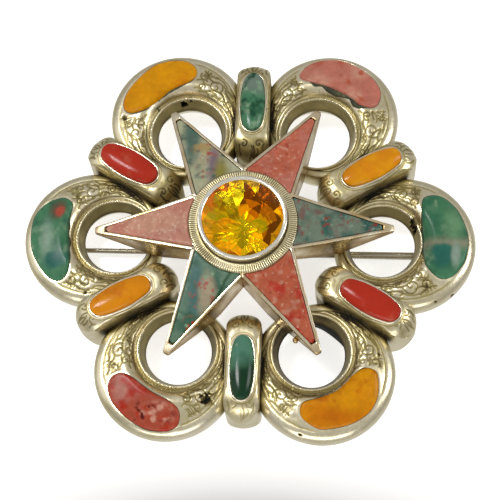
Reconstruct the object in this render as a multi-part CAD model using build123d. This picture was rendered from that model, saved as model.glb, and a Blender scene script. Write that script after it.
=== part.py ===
from build123d import *
import os
from math import asin, atan2, cos, hypot, pi, radians, sin, sqrt, tan

os.makedirs("parts", exist_ok=True)

# Agate brooch, lying on its back, in millimetres.
# Heights are measured from the rings' mid-plane, and the finished model is lifted so that the backs
# of its straps stand at height 0. The brooch's centre is the origin, +Z comes out of its front, and
# the pin runs along X, with its hinge at +X.

# Ring frame: six rings with off-centre holes, at equal turns round the centre
ring_count = 6
ring_orbit = 21.3          # brooch centre to a ring's centre
ring_radius = 9.7          # a ring's outline at its widest
rim_inset = 1.4            # how far the rounded rim draws in to the front face
foot_inset = 0.9           # and to the back plate
ring_belly = 0.85          # mid-plane up to the widest part
ring_back = 2.5            # mid-plane to the flat back plate
ring_shoulder = 2.3        # mid-plane to the shoulder, where the rim meets the crowned face
ring_crown = 3.6           # mid-plane to the top of the crowned face
hole_shift = 3.04          # how far a hole's centre lies from the ring's, towards the brooch centre
throat_radius = 4.45       # narrowest part of the hole
throat_height = 0.1        # mid-plane up to the throat
hole_back_radius = 5.4     # hole where it meets the back plate
lip_radius = 5.7           # hole at the lip height
lip_height = 2.5
lip_width = 0.45           # raised wire round the hole's front edge
lip_rise = 0.3

# Straps: oval loops wrapped over the joints between rings
strap_inner = 11.05        # brooch centre to the inner end
strap_outer = 26.05        # brooch centre to the outer end
strap_width = 4.7
strap_top = 5.1            # mid-plane to the stone's rim
strap_back = 4.6           # mid-plane to the flat back, on which the brooch lies
strap_belly = 1.6          # height at which the ends reach furthest
strap_end_run = 2.7        # length of the curved end, front and back
strap_end_round = 4.0      # how round the domed ends are in plan
strap_end_band = 0.1       # how far the dome would pass the outline, which leaves a plain upright band
strap_shoulder = 0.75      # rounding between the front and the sides
strap_rim_width = 0.4
strap_rim_rise = 0.2

# Star: six wedge-shaped arms on a hub, resting on the rings' lips
star_offset_x = -0.45      # the star was soldered a little off centre
star_turn = 1.4            # degrees, and slightly turned
star_tip = 20.2
star_tip_width = 0.9
star_notch = 7.9           # star centre to the corner between two arms
star_plate = 8.55          # mid-plane to the flat plate round the bezel
star_tip_height = 5.8      # mid-plane to the top of a tip
star_tip_wall = 0.5
hub_under = 4.7            # mid-plane to the underside of the hub
star_gap = 0.05            # arms above the highest part of the lips that they cross
arm_rest_inner = 11.2      # the arms' lowest part runs between these distances from the centre
arm_rest_outer = 13.3
arm_rim = 0.5              # silver left beside a stone
hub_light_radius = 2.8     # open back behind the centre stone

# Centre stone
citrine_radius = 5.55
citrine_girdle = 0.3
citrine_table = 3.25
citrine_crown_angle = 34.0
citrine_pavilion_angle = 41.0
citrine_star_share = 0.5   # how far the star facets reach from the table towards the girdle
citrine_lower_share = 0.28 # how far in the lower girdle facets stop, as a share of the radius
citrine_sides = 8

# Bezel and milled ring round the centre stone
bezel_wall = 0.45          # between the centre stone's girdle and the outside of the bezel
bezel_radius = citrine_radius + bezel_wall
bezel_rise = 1.65          # star plate to the top of the bezel
claw_lap = 0.17            # how far the rim reaches in over the girdle
aperture_radius = citrine_radius - claw_lap
bezel_claw = 0.3           # top of the girdle to the top of the bezel
claw_edge = 0.05           # upright edge left on the rim
milled_width = 1.3
milled_radius = bezel_radius + milled_width
milled_rise = 0.25

# Stones
stone_gap = 0.1            # clearance between a stone and its seat
claw_gap = 0.05            # clearance above the centre stone's girdle
ring_stone_outer = 8.6     # ring centre to the stone's outer edge
ring_stone_inner = 6.85    # hole centre to the stone's inner edge
ring_stone_spread = 56.0   # degrees to each side of its middle
ring_stone_lean = 4.5      # degrees from the ring's outward line to the stone's middle
ring_stone_corner = 1.75
ring_stone_base = 0.9      # mid-plane to the stone's flat back
ring_stone_proud = 0.35
strap_stone_center = 19.25
strap_stone_length = 8.7
strap_stone_width = 3.6
strap_stone_end = 1.45     # radius of the outline's ends
strap_stone_sink = 1.1     # how deep the stone sits below the strap's top
strap_stone_dome = 1.15    # how far its middle stands above the strap's top
strap_stone_bow = 0.4      # middle above the ends
strap_stone_round = 0.75   # rounding of its top edge
star_stone_start = 0.45    # milled ring to the stones' curved bases
star_stone_inner = milled_radius + star_stone_start
star_stone_tip = 18.2      # star centre to the stone's point
star_stone_depth = 1.3
star_stone_proud = 0.25
star_stone_chamfer = 0.25

# Vent holes in the walls of the rings' holes. Ring is its number, counted from +X, and turn is in degrees
# about the hole's axis. Height is a share of the lip's height, and radius, and depth outward from the
# lip, are shares of the throat's radius.
vents = [
    {"ring": 0, "height": 0.41, "turn": 32.6, "radius": 0.1, "depth": 0.07},
    {"ring": 2, "height": 0.5, "turn": -18.3, "radius": 0.09, "depth": 0.11},
    {"ring": 2, "height": 0.75, "turn": -29.7, "radius": 0.045, "depth": 0.07},
]

# Pin, hinge and catch on the back
pin_height = 1.2           # floor to the pin's centre line
hinge_x = 26.6
catch_x = -26.6
pin_tip_x = -28.6
pin_root_radius = 0.55
pin_end_radius = 0.33      # where the point starts
pin_point_length = 3.0
pin_point_radius = 0.06
eye_radius = 0.75
eye_width = 1.1
rivet_radius = 0.32
eye_clearance = 0.05       # running clearance of the eye on the rivet
rivet_clearance = 0.03     # rivet in the ears
ear_thickness = 0.6
ear_side_gap = 0.1
ear_radius = 0.8
ear_foot = 2.2             # length of an ear where it meets the back plate
catch_length = 1.6
catch_wall = 0.5
catch_clearance = 0.15     # each side of the pin
catch_depth = 0.45         # how far the cheeks reach past the pin's centre line
weld = 0.3                 # how far soldered pieces run into each other

turn = 360 / ring_count    # from each ring to the next
tall = 2 * ring_orbit      # longer than the model is deep, for cutters
past = 1.0                 # how far a cutter runs past the face that it opens
corner_rounds = 12         # steps that settle a corner on an arc


def at(angle, shape):
    """Turn a shape about the brooch's axis."""
    return Rot(0, 0, angle) * shape


def profile_face(edges):
    return Face(Wire(edges))


def prism(face, low, high):
    """A flat outline drawn at height 0, made solid between two heights."""
    return extrude(Pos(0, 0, low) * face, high - low, dir=(0, 0, 1))


def side_line(points):
    """Straight edges through points given as (distance, height)."""
    placed = [Vector(x, 0, z) for x, z in points]
    return [Edge.make_line(a, b) for a, b in zip(placed, placed[1:])]


def side_arc(start, middle, end):
    return Edge.make_three_point_arc(*[Vector(x, 0, z) for x, z in (start, middle, end)])


def crown_radius(run, rise):
    """Radius of the arc that is level at its top and falls by rise over run."""
    return (run ** 2 + rise ** 2) / (2 * rise)


def rim_middle(end, belly):
    """Middle of the arc that is upright at the belly and ends at a face."""
    run, rise = belly[0] - end[0], end[1] - belly[1]
    radius = crown_radius(rise, run)
    half = atan2(rise, radius - run) / 2
    return belly[0] - radius + radius * cos(half), belly[1] + radius * sin(half)


def cushion(lift=0.0):
    """A ring's outer form without its hole, about its own axis. Lift raises the front."""
    foot = (ring_radius - foot_inset, -ring_back)
    belly = (ring_radius, ring_belly)
    shoulder = (ring_radius - rim_inset, ring_shoulder + lift)
    crown = (0, ring_crown + lift)
    radius = crown_radius(shoulder[0], crown[1] - shoulder[1])
    half = asin(shoulder[0] / radius) / 2
    middle = (radius * sin(half), crown[1] - radius + radius * cos(half))
    edges = side_line([(0, -ring_back), foot])
    edges.append(side_arc(foot, rim_middle(foot, belly), belly))
    edges.append(side_arc(belly, rim_middle(shoulder, belly), shoulder))
    edges.append(side_arc(shoulder, middle, crown))
    edges += side_line([crown, (0, -ring_back)])
    return revolve(profile_face(edges), Axis.Z)


def funnel_radius(height):
    """Radius of the hole's front wall at a height above the mid-plane."""
    share = (height - throat_height) / (lip_height - throat_height)
    return throat_radius + (lip_radius - throat_radius) * share


def flare(extra=0.0):
    """The hole's funnel about its own axis, wider all round by extra."""
    top = ring_crown + past
    top_radius = funnel_radius(top)
    below = -ring_back - past
    edges = side_line([
        (0, below),
        (hole_back_radius + extra, below),
        (hole_back_radius + extra, -ring_back),
        (throat_radius + extra, throat_height),
        (top_radius + extra, top),
        (0, top),
        (0, below),
    ])
    return revolve(profile_face(edges), Axis.Z)


def kidney(gap=0.0):
    """Outline of a ring stone about the ring's centre, its middle towards +X."""
    outer = ring_stone_outer + gap
    inner = ring_stone_inner - gap
    high = radians(ring_stone_lean + ring_stone_spread)
    low = radians(ring_stone_lean - ring_stone_spread)
    shift = hole_shift

    def corners(angle):
        """Outer and inner corner of the stone at an end."""
        reach = sqrt(inner ** 2 - (shift * sin(angle)) ** 2) - shift * cos(angle)
        return [Vector(far * cos(angle), far * sin(angle)) for far in (outer, reach)]

    high_out, high_in = corners(high)
    low_out, low_in = corners(low)
    edges = [
        Edge.make_three_point_arc(low_out, Vector(outer, 0), high_out),
        Edge.make_line(high_out, high_in),
        Edge.make_three_point_arc(high_in, Vector(inner - shift, 0), low_in),
        Edge.make_line(low_in, low_out),
    ]
    face = profile_face(edges)
    return face.fillet_2d(ring_stone_corner, face.vertices())


def ring_metal():
    """One ring, its lip and the seat for its stone, with its centre on +X."""
    place = Pos(ring_orbit, 0, 0)
    hole_place = Pos(ring_orbit - hole_shift, 0, 0)
    lip = (place * cushion(lip_rise)) & (hole_place * flare(lip_width))
    metal = place * cushion() + lip
    metal -= hole_place * flare()
    seat = prism(kidney(stone_gap), ring_stone_base - stone_gap, tall)
    return metal - place * seat


def ring_stone():
    block = prism(kidney(), ring_stone_base, tall)
    return Pos(ring_orbit, 0, 0) * (block & cushion(ring_stone_proud))


def strap_end():
    """Domed end of a strap about its own upright axis, reaching furthest at the belly."""
    flat = strap_end_round - strap_end_run
    reach = strap_end_run + strap_end_band
    belly = (flat + reach, strap_belly)
    front, back = (flat, strap_top), (flat, -strap_back)

    def bulge(face):
        """A point on the quarter oval between the belly and a face."""
        share = cos(pi / 4)
        return flat + reach * share, strap_belly + (face[1] - strap_belly) * share

    edges = side_line([front, (0, strap_top), (0, -strap_back), back])
    edges.append(side_arc(back, bulge(back), belly))
    edges.append(side_arc(belly, bulge(front), front))
    return revolve(profile_face(edges), Axis.Z)


def strap_section_across():
    """The strap seen along its length, with rounded shoulders front and back."""
    half = strap_width / 2
    soft = strap_shoulder
    middle = soft * (1 - cos(pi / 4))
    corners = []
    for side, height in ((1, strap_top), (1, -strap_back), (-1, -strap_back), (-1, strap_top)):
        up = 1 if height > 0 else -1
        face_point = (side * (half - soft), height)
        wall_point = (side * half, height - up * soft)
        bend = (side * (half - middle), height - up * middle)
        order = (face_point, bend, wall_point)
        corners.append(order if side * up > 0 else order[::-1])
    edges = []
    for corner, following in zip(corners, corners[1:] + corners[:1]):
        edges.append(side_arc(*corner))
        edges += side_line([corner[-1], following[0]])
    return Rot(0, 0, 90) * profile_face(edges)


def stone_oval(extra=0.0):
    """Outline of a strap stone, wider all round by extra: two round ends joined by two long arcs."""
    half_length = strap_stone_length / 2 + extra
    half_width = strap_stone_width / 2 + extra
    end = strap_stone_end + extra
    reach = half_length - end
    side = (reach ** 2 + half_width ** 2 - end ** 2) / (2 * (half_width - end))
    # Each long arc meets a round end on the line through both their centres.
    sine, cosine = reach / (side - end), (side - half_width) / (side - end)
    along, across = reach + end * sine, end * cosine
    right_high, right_low = Vector(along, across), Vector(along, -across)
    left_high, left_low = Vector(-along, across), Vector(-along, -across)
    return profile_face([
        Edge.make_three_point_arc(right_low, Vector(half_length, 0), right_high),
        Edge.make_three_point_arc(right_high, Vector(0, half_width), left_high),
        Edge.make_three_point_arc(left_high, Vector(-half_length, 0), left_low),
        Edge.make_three_point_arc(left_low, Vector(0, -half_width), right_low),
    ])


def strap_metal():
    """One strap with the seat and rim of its stone, lying along +X."""
    length = strap_outer - strap_inner
    middle = (strap_outer + strap_inner) / 2
    inner_axis, outer_axis = strap_inner + strap_end_round, strap_outer - strap_end_round
    body = Pos(middle, 0, (strap_top - strap_back) / 2)
    body *= Box(outer_axis - inner_axis, strap_width, strap_top + strap_back)
    body += [Pos(inner_axis, 0, 0) * strap_end(), Pos(outer_axis, 0, 0) * strap_end()]
    across = Pos(middle, 0, 0) * extrude(strap_section_across(), length, both=True)
    plan = Pos(middle, 0, 0) * prism(SlotOverall(length, strap_width), -tall, tall)
    metal = body & across & plan
    center = Pos(strap_stone_center, 0, 0)
    metal += center * prism(stone_oval(strap_rim_width), 0, strap_top + strap_rim_rise)
    floor = strap_top - strap_stone_sink - stone_gap
    return metal - center * prism(stone_oval(stone_gap), floor, tall)


def strap_stone():
    """Cabochon, bowed along its length and rounded all round its top edge."""
    base, top = strap_top - strap_stone_sink, strap_top + strap_stone_dome
    half = strap_stone_length / 2
    start, end = (-half, top - strap_stone_bow), (half, top - strap_stone_bow)
    edges = [side_arc(start, (0, top), end)]
    edges += side_line([end, (half, base), (-half, base), start])
    stone = prism(stone_oval(), base, tall) & extrude(profile_face(edges), strap_stone_width, both=True)
    upper = stone.faces().sort_by(Axis.Z)[-1]
    return Pos(strap_stone_center, 0, 0) * fillet(upper.edges(), strap_stone_round)


def notch_corner():
    """The corner between two arms, as distances along and across an arm."""
    half_turn = radians(180 / ring_count)
    return star_notch * cos(half_turn), star_notch * sin(half_turn)


def arm_share(distance):
    """How far along its straight edges a place on the arm is, from 0 at the corner to 1."""
    along = notch_corner()[0]
    return (distance - along) / (star_tip - along)


def arm_edge(distance, rim=0.0):
    """Half the arm's width at a distance along its middle line, less a rim beside each edge."""
    along, across = notch_corner()
    fall = across - star_tip_width / 2
    edge_length = hypot(star_tip - along, fall)
    return across - fall * arm_share(distance) - rim * edge_length / (star_tip - along)


def arm_top(distance):
    """Height of the arm's sloping front at a distance along its middle line."""
    return star_plate + (star_tip_height - star_plate) * arm_share(distance)


def star_arm():
    """One arm as a wedge: its plan and its side view, both cut straight through."""
    notch_along, notch_across = notch_corner()
    plan = make_face(Polyline(
        (0, 0), (notch_along, -notch_across), (star_tip, -star_tip_width / 2),
        (star_tip, star_tip_width / 2), (notch_along, notch_across), close=True))
    rest = ring_shoulder + lip_rise + star_gap
    side = profile_face(side_line([
        (0, hub_under), (notch_along - weld, hub_under), (arm_rest_inner, rest),
        (arm_rest_outer, rest), (star_tip, star_tip_height - star_tip_wall),
        (star_tip, star_tip_height), (notch_along, star_plate), (0, star_plate), (0, hub_under)]))
    return prism(plan, 0, tall) & extrude(side, star_notch, both=True)


def kite(gap=0.0):
    """Outline of a star stone in plan, wider all round by gap, with its base on an arc."""
    rim = arm_rim - gap
    inner = star_stone_inner - gap
    tip = star_stone_tip + gap
    half_tip = arm_edge(tip, rim)
    # The base corner lies where the stone's side crosses the arc of its base.
    corner_along = inner
    for _ in range(corner_rounds):
        corner_across = arm_edge(corner_along, rim)
        corner_along = sqrt(inner ** 2 - corner_across ** 2)
    corner, tip_corner = Vector(corner_along, corner_across), Vector(tip, half_tip)
    low, tip_low = Vector(corner.X, -corner.Y), Vector(tip, -half_tip)
    return profile_face([
        Edge.make_three_point_arc(low, Vector(inner, 0), corner),
        Edge.make_line(corner, tip_corner),
        Edge.make_line(tip_corner, tip_low),
        Edge.make_line(tip_low, low),
    ])


def slope_block(depth_above, depth_below):
    """Everything between two planes beside the arm's sloping front."""
    near, far = 0.0, tall
    return extrude(profile_face(side_line([
        (near, arm_top(near) - depth_below), (far, arm_top(far) - depth_below),
        (far, arm_top(far) + depth_above), (near, arm_top(near) + depth_above),
        (near, arm_top(near) - depth_below)])), star_notch, both=True)


def star_stone():
    stone = prism(kite(), 0, tall) & slope_block(star_stone_proud, star_stone_depth)
    top = stone.faces().filter_by(lambda face: face.normal_at().Z > 0.9).sort_by(Axis.Z)[-1]
    return chamfer(top.edges(), star_stone_chamfer)


def star_seat():
    return prism(kite(stone_gap), 0, tall) & slope_block(tall, star_stone_depth + stone_gap)


def cylinder_between(radius, low, high):
    return Pos(0, 0, low) * Cylinder(radius, high - low, align=(Align.CENTER, Align.CENTER, Align.MIN))


def citrine_heights():
    """Heights of the centre stone, whose girdle sits just under the bezel's claw."""
    girdle_top = star_plate + bezel_rise - bezel_claw
    girdle_low = girdle_top - citrine_girdle
    return {
        "table": girdle_top + (citrine_radius - citrine_table) * tan(radians(citrine_crown_angle)),
        "girdle_top": girdle_top,
        "girdle_low": girdle_low,
        "point": girdle_low - citrine_radius * tan(radians(citrine_pavilion_angle)),
    }


def hub_metal():
    """Milled ring and bezel, standing on the star's flat plate."""
    milled = cylinder_between(milled_radius, star_plate - weld, star_plate + milled_rise)
    return milled + cylinder_between(bezel_radius, star_plate - weld, star_plate + bezel_rise)


def hub_bore():
    """What is cut out of the hub: claw opening, girdle seat, tapered seat and open back."""
    heights = citrine_heights()
    seat_low = heights["girdle_low"] - stone_gap
    seat_high = heights["girdle_top"] + claw_gap
    seat_radius = citrine_radius + stone_gap
    light_height = seat_low - (seat_radius - hub_light_radius) * tan(radians(citrine_pavilion_angle))
    bezel_top = star_plate + bezel_rise
    below, above = hub_under - past, bezel_top + past
    edges = side_line([
        (0, below), (hub_light_radius, below), (hub_light_radius, light_height),
        (seat_radius, seat_low), (seat_radius, seat_high), (aperture_radius, bezel_top - claw_edge),
        (aperture_radius, above), (0, above), (0, below)])
    return revolve(profile_face(edges), Axis.Z)


def citrine():
    """Round stone with a table, star, main and girdle facets, worked out from its angles."""
    heights = citrine_heights()
    girdle_top, girdle_low = heights["girdle_top"], heights["girdle_low"]
    crown = tan(radians(citrine_crown_angle))
    pavilion = tan(radians(citrine_pavilion_angle))
    step = 2 * pi / citrine_sides
    star_reach = citrine_table + (citrine_radius - citrine_table) * citrine_star_share
    lower_reach = citrine_radius * citrine_lower_share

    def ring(radius, height, count, start=0.0):
        turns = [start + 2 * pi * i / count for i in range(count)]
        return [Vector(radius * cos(t), radius * sin(t), height) for t in turns]

    star_height = girdle_top + (citrine_radius - star_reach * cos(step / 2)) * crown
    lower_height = girdle_low - (citrine_radius - lower_reach * cos(step / 2)) * pavilion
    table = ring(citrine_table, heights["table"], citrine_sides)
    star = ring(star_reach, star_height, citrine_sides, step / 2)
    upper = ring(citrine_radius, girdle_top, 2 * citrine_sides)
    lower = ring(citrine_radius, girdle_low, 2 * citrine_sides)
    inner = ring(lower_reach, lower_height, citrine_sides, step / 2)
    culet = Vector(0, 0, heights["point"])
    facets = [table]
    for i in range(citrine_sides):
        after, before = (i + 1) % citrine_sides, i - 1
        here, half, following = 2 * i, 2 * i + 1, (2 * i + 2) % (2 * citrine_sides)
        facets.append([table[i], star[i], table[after]])
        facets.append([table[i], star[before], upper[here], star[i]])
        facets.append([star[i], upper[here], upper[half]])
        facets.append([star[i], upper[half], upper[following]])
        facets.append([upper[here], lower[here], lower[half], upper[half]])
        facets.append([upper[half], lower[half], lower[following], upper[following]])
        facets.append([inner[i], lower[here], lower[half]])
        facets.append([inner[i], lower[half], lower[following]])
        facets.append([culet, inner[before], lower[here], inner[i]])
    faces = [Face(Wire.make_polygon(corners)) for corners in facets]
    return Solid(Shell(faces))


def pin_level(shape):
    """Move a shape drawn about the pin's centre line to the pin's height."""
    return Pos(0, 0, pin_height - strap_back) * shape


def pin_radius_at(x):
    """The stem narrows evenly from the hinge to where its point starts."""
    point_start = pin_tip_x + pin_point_length
    share = (hinge_x - x) / (hinge_x - point_start)
    return pin_root_radius + (pin_end_radius - pin_root_radius) * share


def pin_stem():
    """Tapered stem with a pointed tip and a flat eye at the hinge, one piece."""
    point_start = pin_tip_x + pin_point_length
    half = side_line([
        (hinge_x, 0), (hinge_x, pin_root_radius), (point_start, pin_end_radius),
        (pin_tip_x, pin_point_radius), (pin_tip_x, 0), (hinge_x, 0)])
    stem = revolve(profile_face(half), Axis.X)
    across = Pos(hinge_x, 0, 0) * Rot(90, 0, 0)
    stem += across * Cylinder(eye_radius, eye_width)
    stem -= across * Cylinder(rivet_radius + eye_clearance, 2 * eye_width)
    return pin_level(stem)


def hinge_width():
    return eye_width + 2 * (ear_side_gap + ear_thickness)


def hinge_ears():
    """Two ears soldered to the back plate, one on each side of the eye."""
    plate = -ring_back - (pin_height - strap_back)
    ear = make_face(Polyline(
        (hinge_x - ear_foot / 2, plate + weld), (hinge_x + ear_foot / 2, plate + weld),
        (hinge_x + ear_foot / 2, plate), (hinge_x + ear_radius, 0),
        (hinge_x - ear_radius, 0), (hinge_x - ear_foot / 2, plate), close=True))
    ear += Pos(hinge_x, 0) * Circle(ear_radius)
    ear -= Pos(hinge_x, 0) * Circle(rivet_radius + rivet_clearance)
    ear = Rot(90, 0, 0) * extrude(ear, ear_thickness / 2, both=True)
    offset = (eye_width + ear_thickness) / 2 + ear_side_gap
    return [pin_level(Pos(0, side * offset, 0) * ear) for side in (-1, 1)]


def hinge_rivet():
    return pin_level(Pos(hinge_x, 0, 0) * Rot(90, 0, 0) * Cylinder(rivet_radius, hinge_width()))


def catch_clip():
    """Clip on the back plate whose mouth faces away from the plate."""
    plate = -ring_back - (pin_height - strap_back)
    slot = pin_radius_at(catch_x + catch_length / 2) + catch_clearance
    half = slot + catch_wall
    clip = make_face(Polyline(
        (-half, plate + weld), (-half, -catch_depth), (-slot, -catch_depth), (-slot, 0),
        (slot, 0), (slot, -catch_depth), (half, -catch_depth), (half, plate + weld), close=True))
    clip -= Circle(slot)
    clip = Rot(0, 0, 90) * Rot(90, 0, 0) * extrude(clip, catch_length / 2, both=True)
    return pin_level(Pos(catch_x, 0, 0) * clip)


def vent_drills(number):
    """Level drills for the vent holes of one ring, which lies along +X."""
    drills = []
    for vent in vents:
        if vent["ring"] == number:
            start, end = throat_radius - past, lip_radius + vent["depth"] * throat_radius
            drill = Pos((start + end) / 2, 0, vent["height"] * lip_height) * Rot(0, 90, 0)
            drill *= Cylinder(vent["radius"] * throat_radius, end - start)
            drills.append(Pos(ring_orbit - hole_shift, 0, 0) * Rot(0, 0, vent["turn"]) * drill)
    return drills


def star_place(shape):
    return Pos(star_offset_x, 0, 0) * Rot(0, 0, star_turn) * shape


def ring_frame():
    """Rings, straps, hinge ears and catch, soldered into one solid."""
    ring, strap = ring_metal(), strap_metal()
    pieces = []
    for i in range(ring_count):
        drills = vent_drills(i)
        pieces.append(at(i * turn, ring - drills if drills else ring))
        pieces.append(at((i + 0.5) * turn, strap))
    pieces += hinge_ears() + [catch_clip()]
    return pieces[0] + pieces[1:]


def star_setting():
    """Arms, hub, milled ring and bezel, soldered into one solid."""
    arms = [at(i * turn, star_arm()) for i in range(ring_count)]
    seats = [at(i * turn, star_seat()) for i in range(ring_count)]
    return star_place(hub_metal() + arms - seats - hub_bore())


def save(shape, name):
    export_step(Pos(0, 0, strap_back) * shape, f"parts/{name}.step")


# Pieces, each written as a node of its own
places = ["right", "upper_right", "upper_left", "left", "lower_left", "lower_right"]
gaps = ["right_high", "top", "left_high", "left_low", "bottom", "right_low"]
save(ring_frame(), "ring_frame")
save(star_setting(), "star_setting")
in_ring, on_star, on_strap = ring_stone(), star_stone(), strap_stone()
for index, name in enumerate(places):
    save(at(index * turn, in_ring), f"ring_stone_{name}")
    save(star_place(at(index * turn, on_star)), f"star_stone_{name}")
for index, name in enumerate(gaps):
    save(at((index + 0.5) * turn, on_strap), f"strap_stone_{name}")
save(star_place(citrine()), "citrine")
save(pin_stem(), "pin_stem")
save(hinge_rivet(), "hinge_rivet")
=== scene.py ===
from math import atan2, cos, hypot, pi, radians, sin, sqrt, tan

import bmesh
import bpy
import numpy as np
from mathutils import Matrix, Vector


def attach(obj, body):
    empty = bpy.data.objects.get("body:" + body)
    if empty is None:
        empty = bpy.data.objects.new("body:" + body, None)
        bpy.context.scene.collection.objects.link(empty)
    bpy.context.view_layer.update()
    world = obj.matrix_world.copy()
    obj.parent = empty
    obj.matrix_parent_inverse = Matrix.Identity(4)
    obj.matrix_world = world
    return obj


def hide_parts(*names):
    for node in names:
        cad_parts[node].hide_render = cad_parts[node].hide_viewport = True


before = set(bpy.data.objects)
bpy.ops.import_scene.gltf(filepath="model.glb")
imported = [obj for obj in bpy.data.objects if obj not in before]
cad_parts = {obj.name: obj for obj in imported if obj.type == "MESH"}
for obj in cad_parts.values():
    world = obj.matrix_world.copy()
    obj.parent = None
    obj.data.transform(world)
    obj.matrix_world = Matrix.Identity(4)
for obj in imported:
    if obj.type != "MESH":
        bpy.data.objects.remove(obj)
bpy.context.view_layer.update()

# Sizes are in millimetres here, with heights from the rings' mid-plane, as in the part's source.
MM = 0.001
LIFT = 4.6                 # floor to the mid-plane

# Rings
ORBIT = 21.3
RING_RADIUS = 9.7
FACE_RADIUS = 8.3
RING_BACK = -2.5
FOOT_RADIUS = 8.8
BELLY = 0.85
SHOULDER = 2.3
CROWN = 3.6
SHIFT = 3.04
THROAT = (4.45, 0.1)       # radius and height
BACK_HOLE = 5.4
LIP = (5.15, 1.9)          # radius and height
LIP_WIDTH = 0.40
LIP_RISE = 0.25
ROLL = 2.3                 # width of the face's fall towards the lip
# How far each ring sits from its even place
RING_OFFSETS = [(0.0, 0.0), (-0.04, 0.24), (0.13, 0.05), (-0.06, 0.0), (0.20, -0.05), (-0.14, -0.06)]

# Straps
STRAP_IN = 11.05
STRAP_OUT = 26.05
STRAP_HALF = 2.35
STRAP_TOP = 5.1
STRAP_BACK = -4.6
STRAP_BELLY = 1.6
STRAP_ROUND = 4.0
STRAP_RUN = 2.7
STRAP_SHOULDER = 0.75
STRAP_FRONT_ROWS = 40
STRAP_STONE = (19.25, 4.35, 1.8, 1.45)   # centre, half length, half width, end radius
# How wide each strap's stone is beside the table's
STONE_WIDTHS = {"right_high": 1.0, "top": 0.94, "left_high": 1.06, "left_low": 1.0, "bottom": 0.88,
                "right_low": 1.03}

# Star
STAR_SHIFT = -0.45
STAR_TURN = 1.4
STAR_TIP = 20.2
STAR_TIP_HALF = 0.45
NOTCH_ALONG, NOTCH_ACROSS = 7.9 * cos(pi / 6), 7.9 * sin(pi / 6)
PLATE = 8.55
TIP_TOP = 5.8
TIP_WALL = 0.5
HUB_UNDER = 4.7
ARM_REST = 2.65
STONE_IN = 7.45
STONE_TIP = 18.6
ARM_RIM = 0.5              # from an arm's outline to its stone
# How far each star stone stands above its arm
STAR_PROUD = {"right": 0.03, "upper_right": 0.16, "upper_left": 0.05, "left": 0.24, "lower_left": 0.12,
              "lower_right": 0.10}

PLACES = ["right", "upper_right", "upper_left", "left", "lower_left", "lower_right"]
GAPS = ["right_high", "top", "left_high", "left_low", "bottom", "right_low"]


# Numbers and noise

def smooth(low, high, value):
    share = np.clip((value - low) / (high - low), 0, 1)
    return share * share * (3 - 2 * share)


def bell(value, width):
    return np.exp(-(value / width) ** 2)


def value_noise(points, scale, seed):
    """Smooth noise in -1..1 at points, with features about scale across."""
    size = 32
    table = np.random.default_rng(seed).uniform(-1, 1, (size, size, size))
    spot = points / scale
    base = np.floor(spot).astype(int)
    part = spot - base
    part = part * part * (3 - 2 * part)
    total = 0
    for dx in (0, 1):
        for dy in (0, 1):
            for dz in (0, 1):
                weight = 1
                for axis, step in enumerate((dx, dy, dz)):
                    weight = weight * (part[..., axis] if step else 1 - part[..., axis])
                cell = (base + (dx, dy, dz)) % size
                total = total + weight * table[cell[..., 0], cell[..., 1], cell[..., 2]]
    return total


def layered(points, scale, seed, layers=3):
    total = 0
    for layer in range(layers):
        total = total + value_noise(points, scale / 2 ** layer, seed + layer) / 2 ** layer
    return total / 1.5


def turned(points, angle, shift=(0, 0)):
    """Points turned about the upright axis by degrees, then moved."""
    c, s = cos(radians(angle)), sin(radians(angle))
    out = np.array(points, float)
    out[..., 0] = points[..., 0] * c - points[..., 1] * s + shift[0]
    out[..., 1] = points[..., 0] * s + points[..., 1] * c + shift[1]
    return out


# Meshes

def polar(radius, angle, middle=(0, 0)):
    """Flat points at a distance and angle from a middle."""
    return np.stack([middle[0] + radius * np.cos(angle), middle[1] + radius * np.sin(angle)], -1)


def raised(flat, level):
    """Flat points given a height: one number, or one for each point."""
    return np.concatenate([flat, np.broadcast_to(level, len(flat))[:, None]], 1)


def closed(outline):
    return np.concatenate([outline, outline[:1]])


def row_numbers(grid):
    return np.arange(len(grid))[:, None] + np.zeros(grid.shape[:2], int)


def wrapped(degrees):
    """The same directions, from -180 to 180 degrees."""
    return (degrees + 180) % 360 - 180


def in_scene(name, data):
    item = bpy.data.objects.new(name, data)
    bpy.context.scene.collection.objects.link(item)
    return item


def place_piece(name, mesh, material, replaces):
    """Put a mesh on the brooch's body, in the place of the nodes that it replaces."""
    piece = in_scene(name, mesh)
    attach(piece, "brooch")
    if replaces:
        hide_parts(*replaces)
    mesh.materials.append(material)


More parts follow.
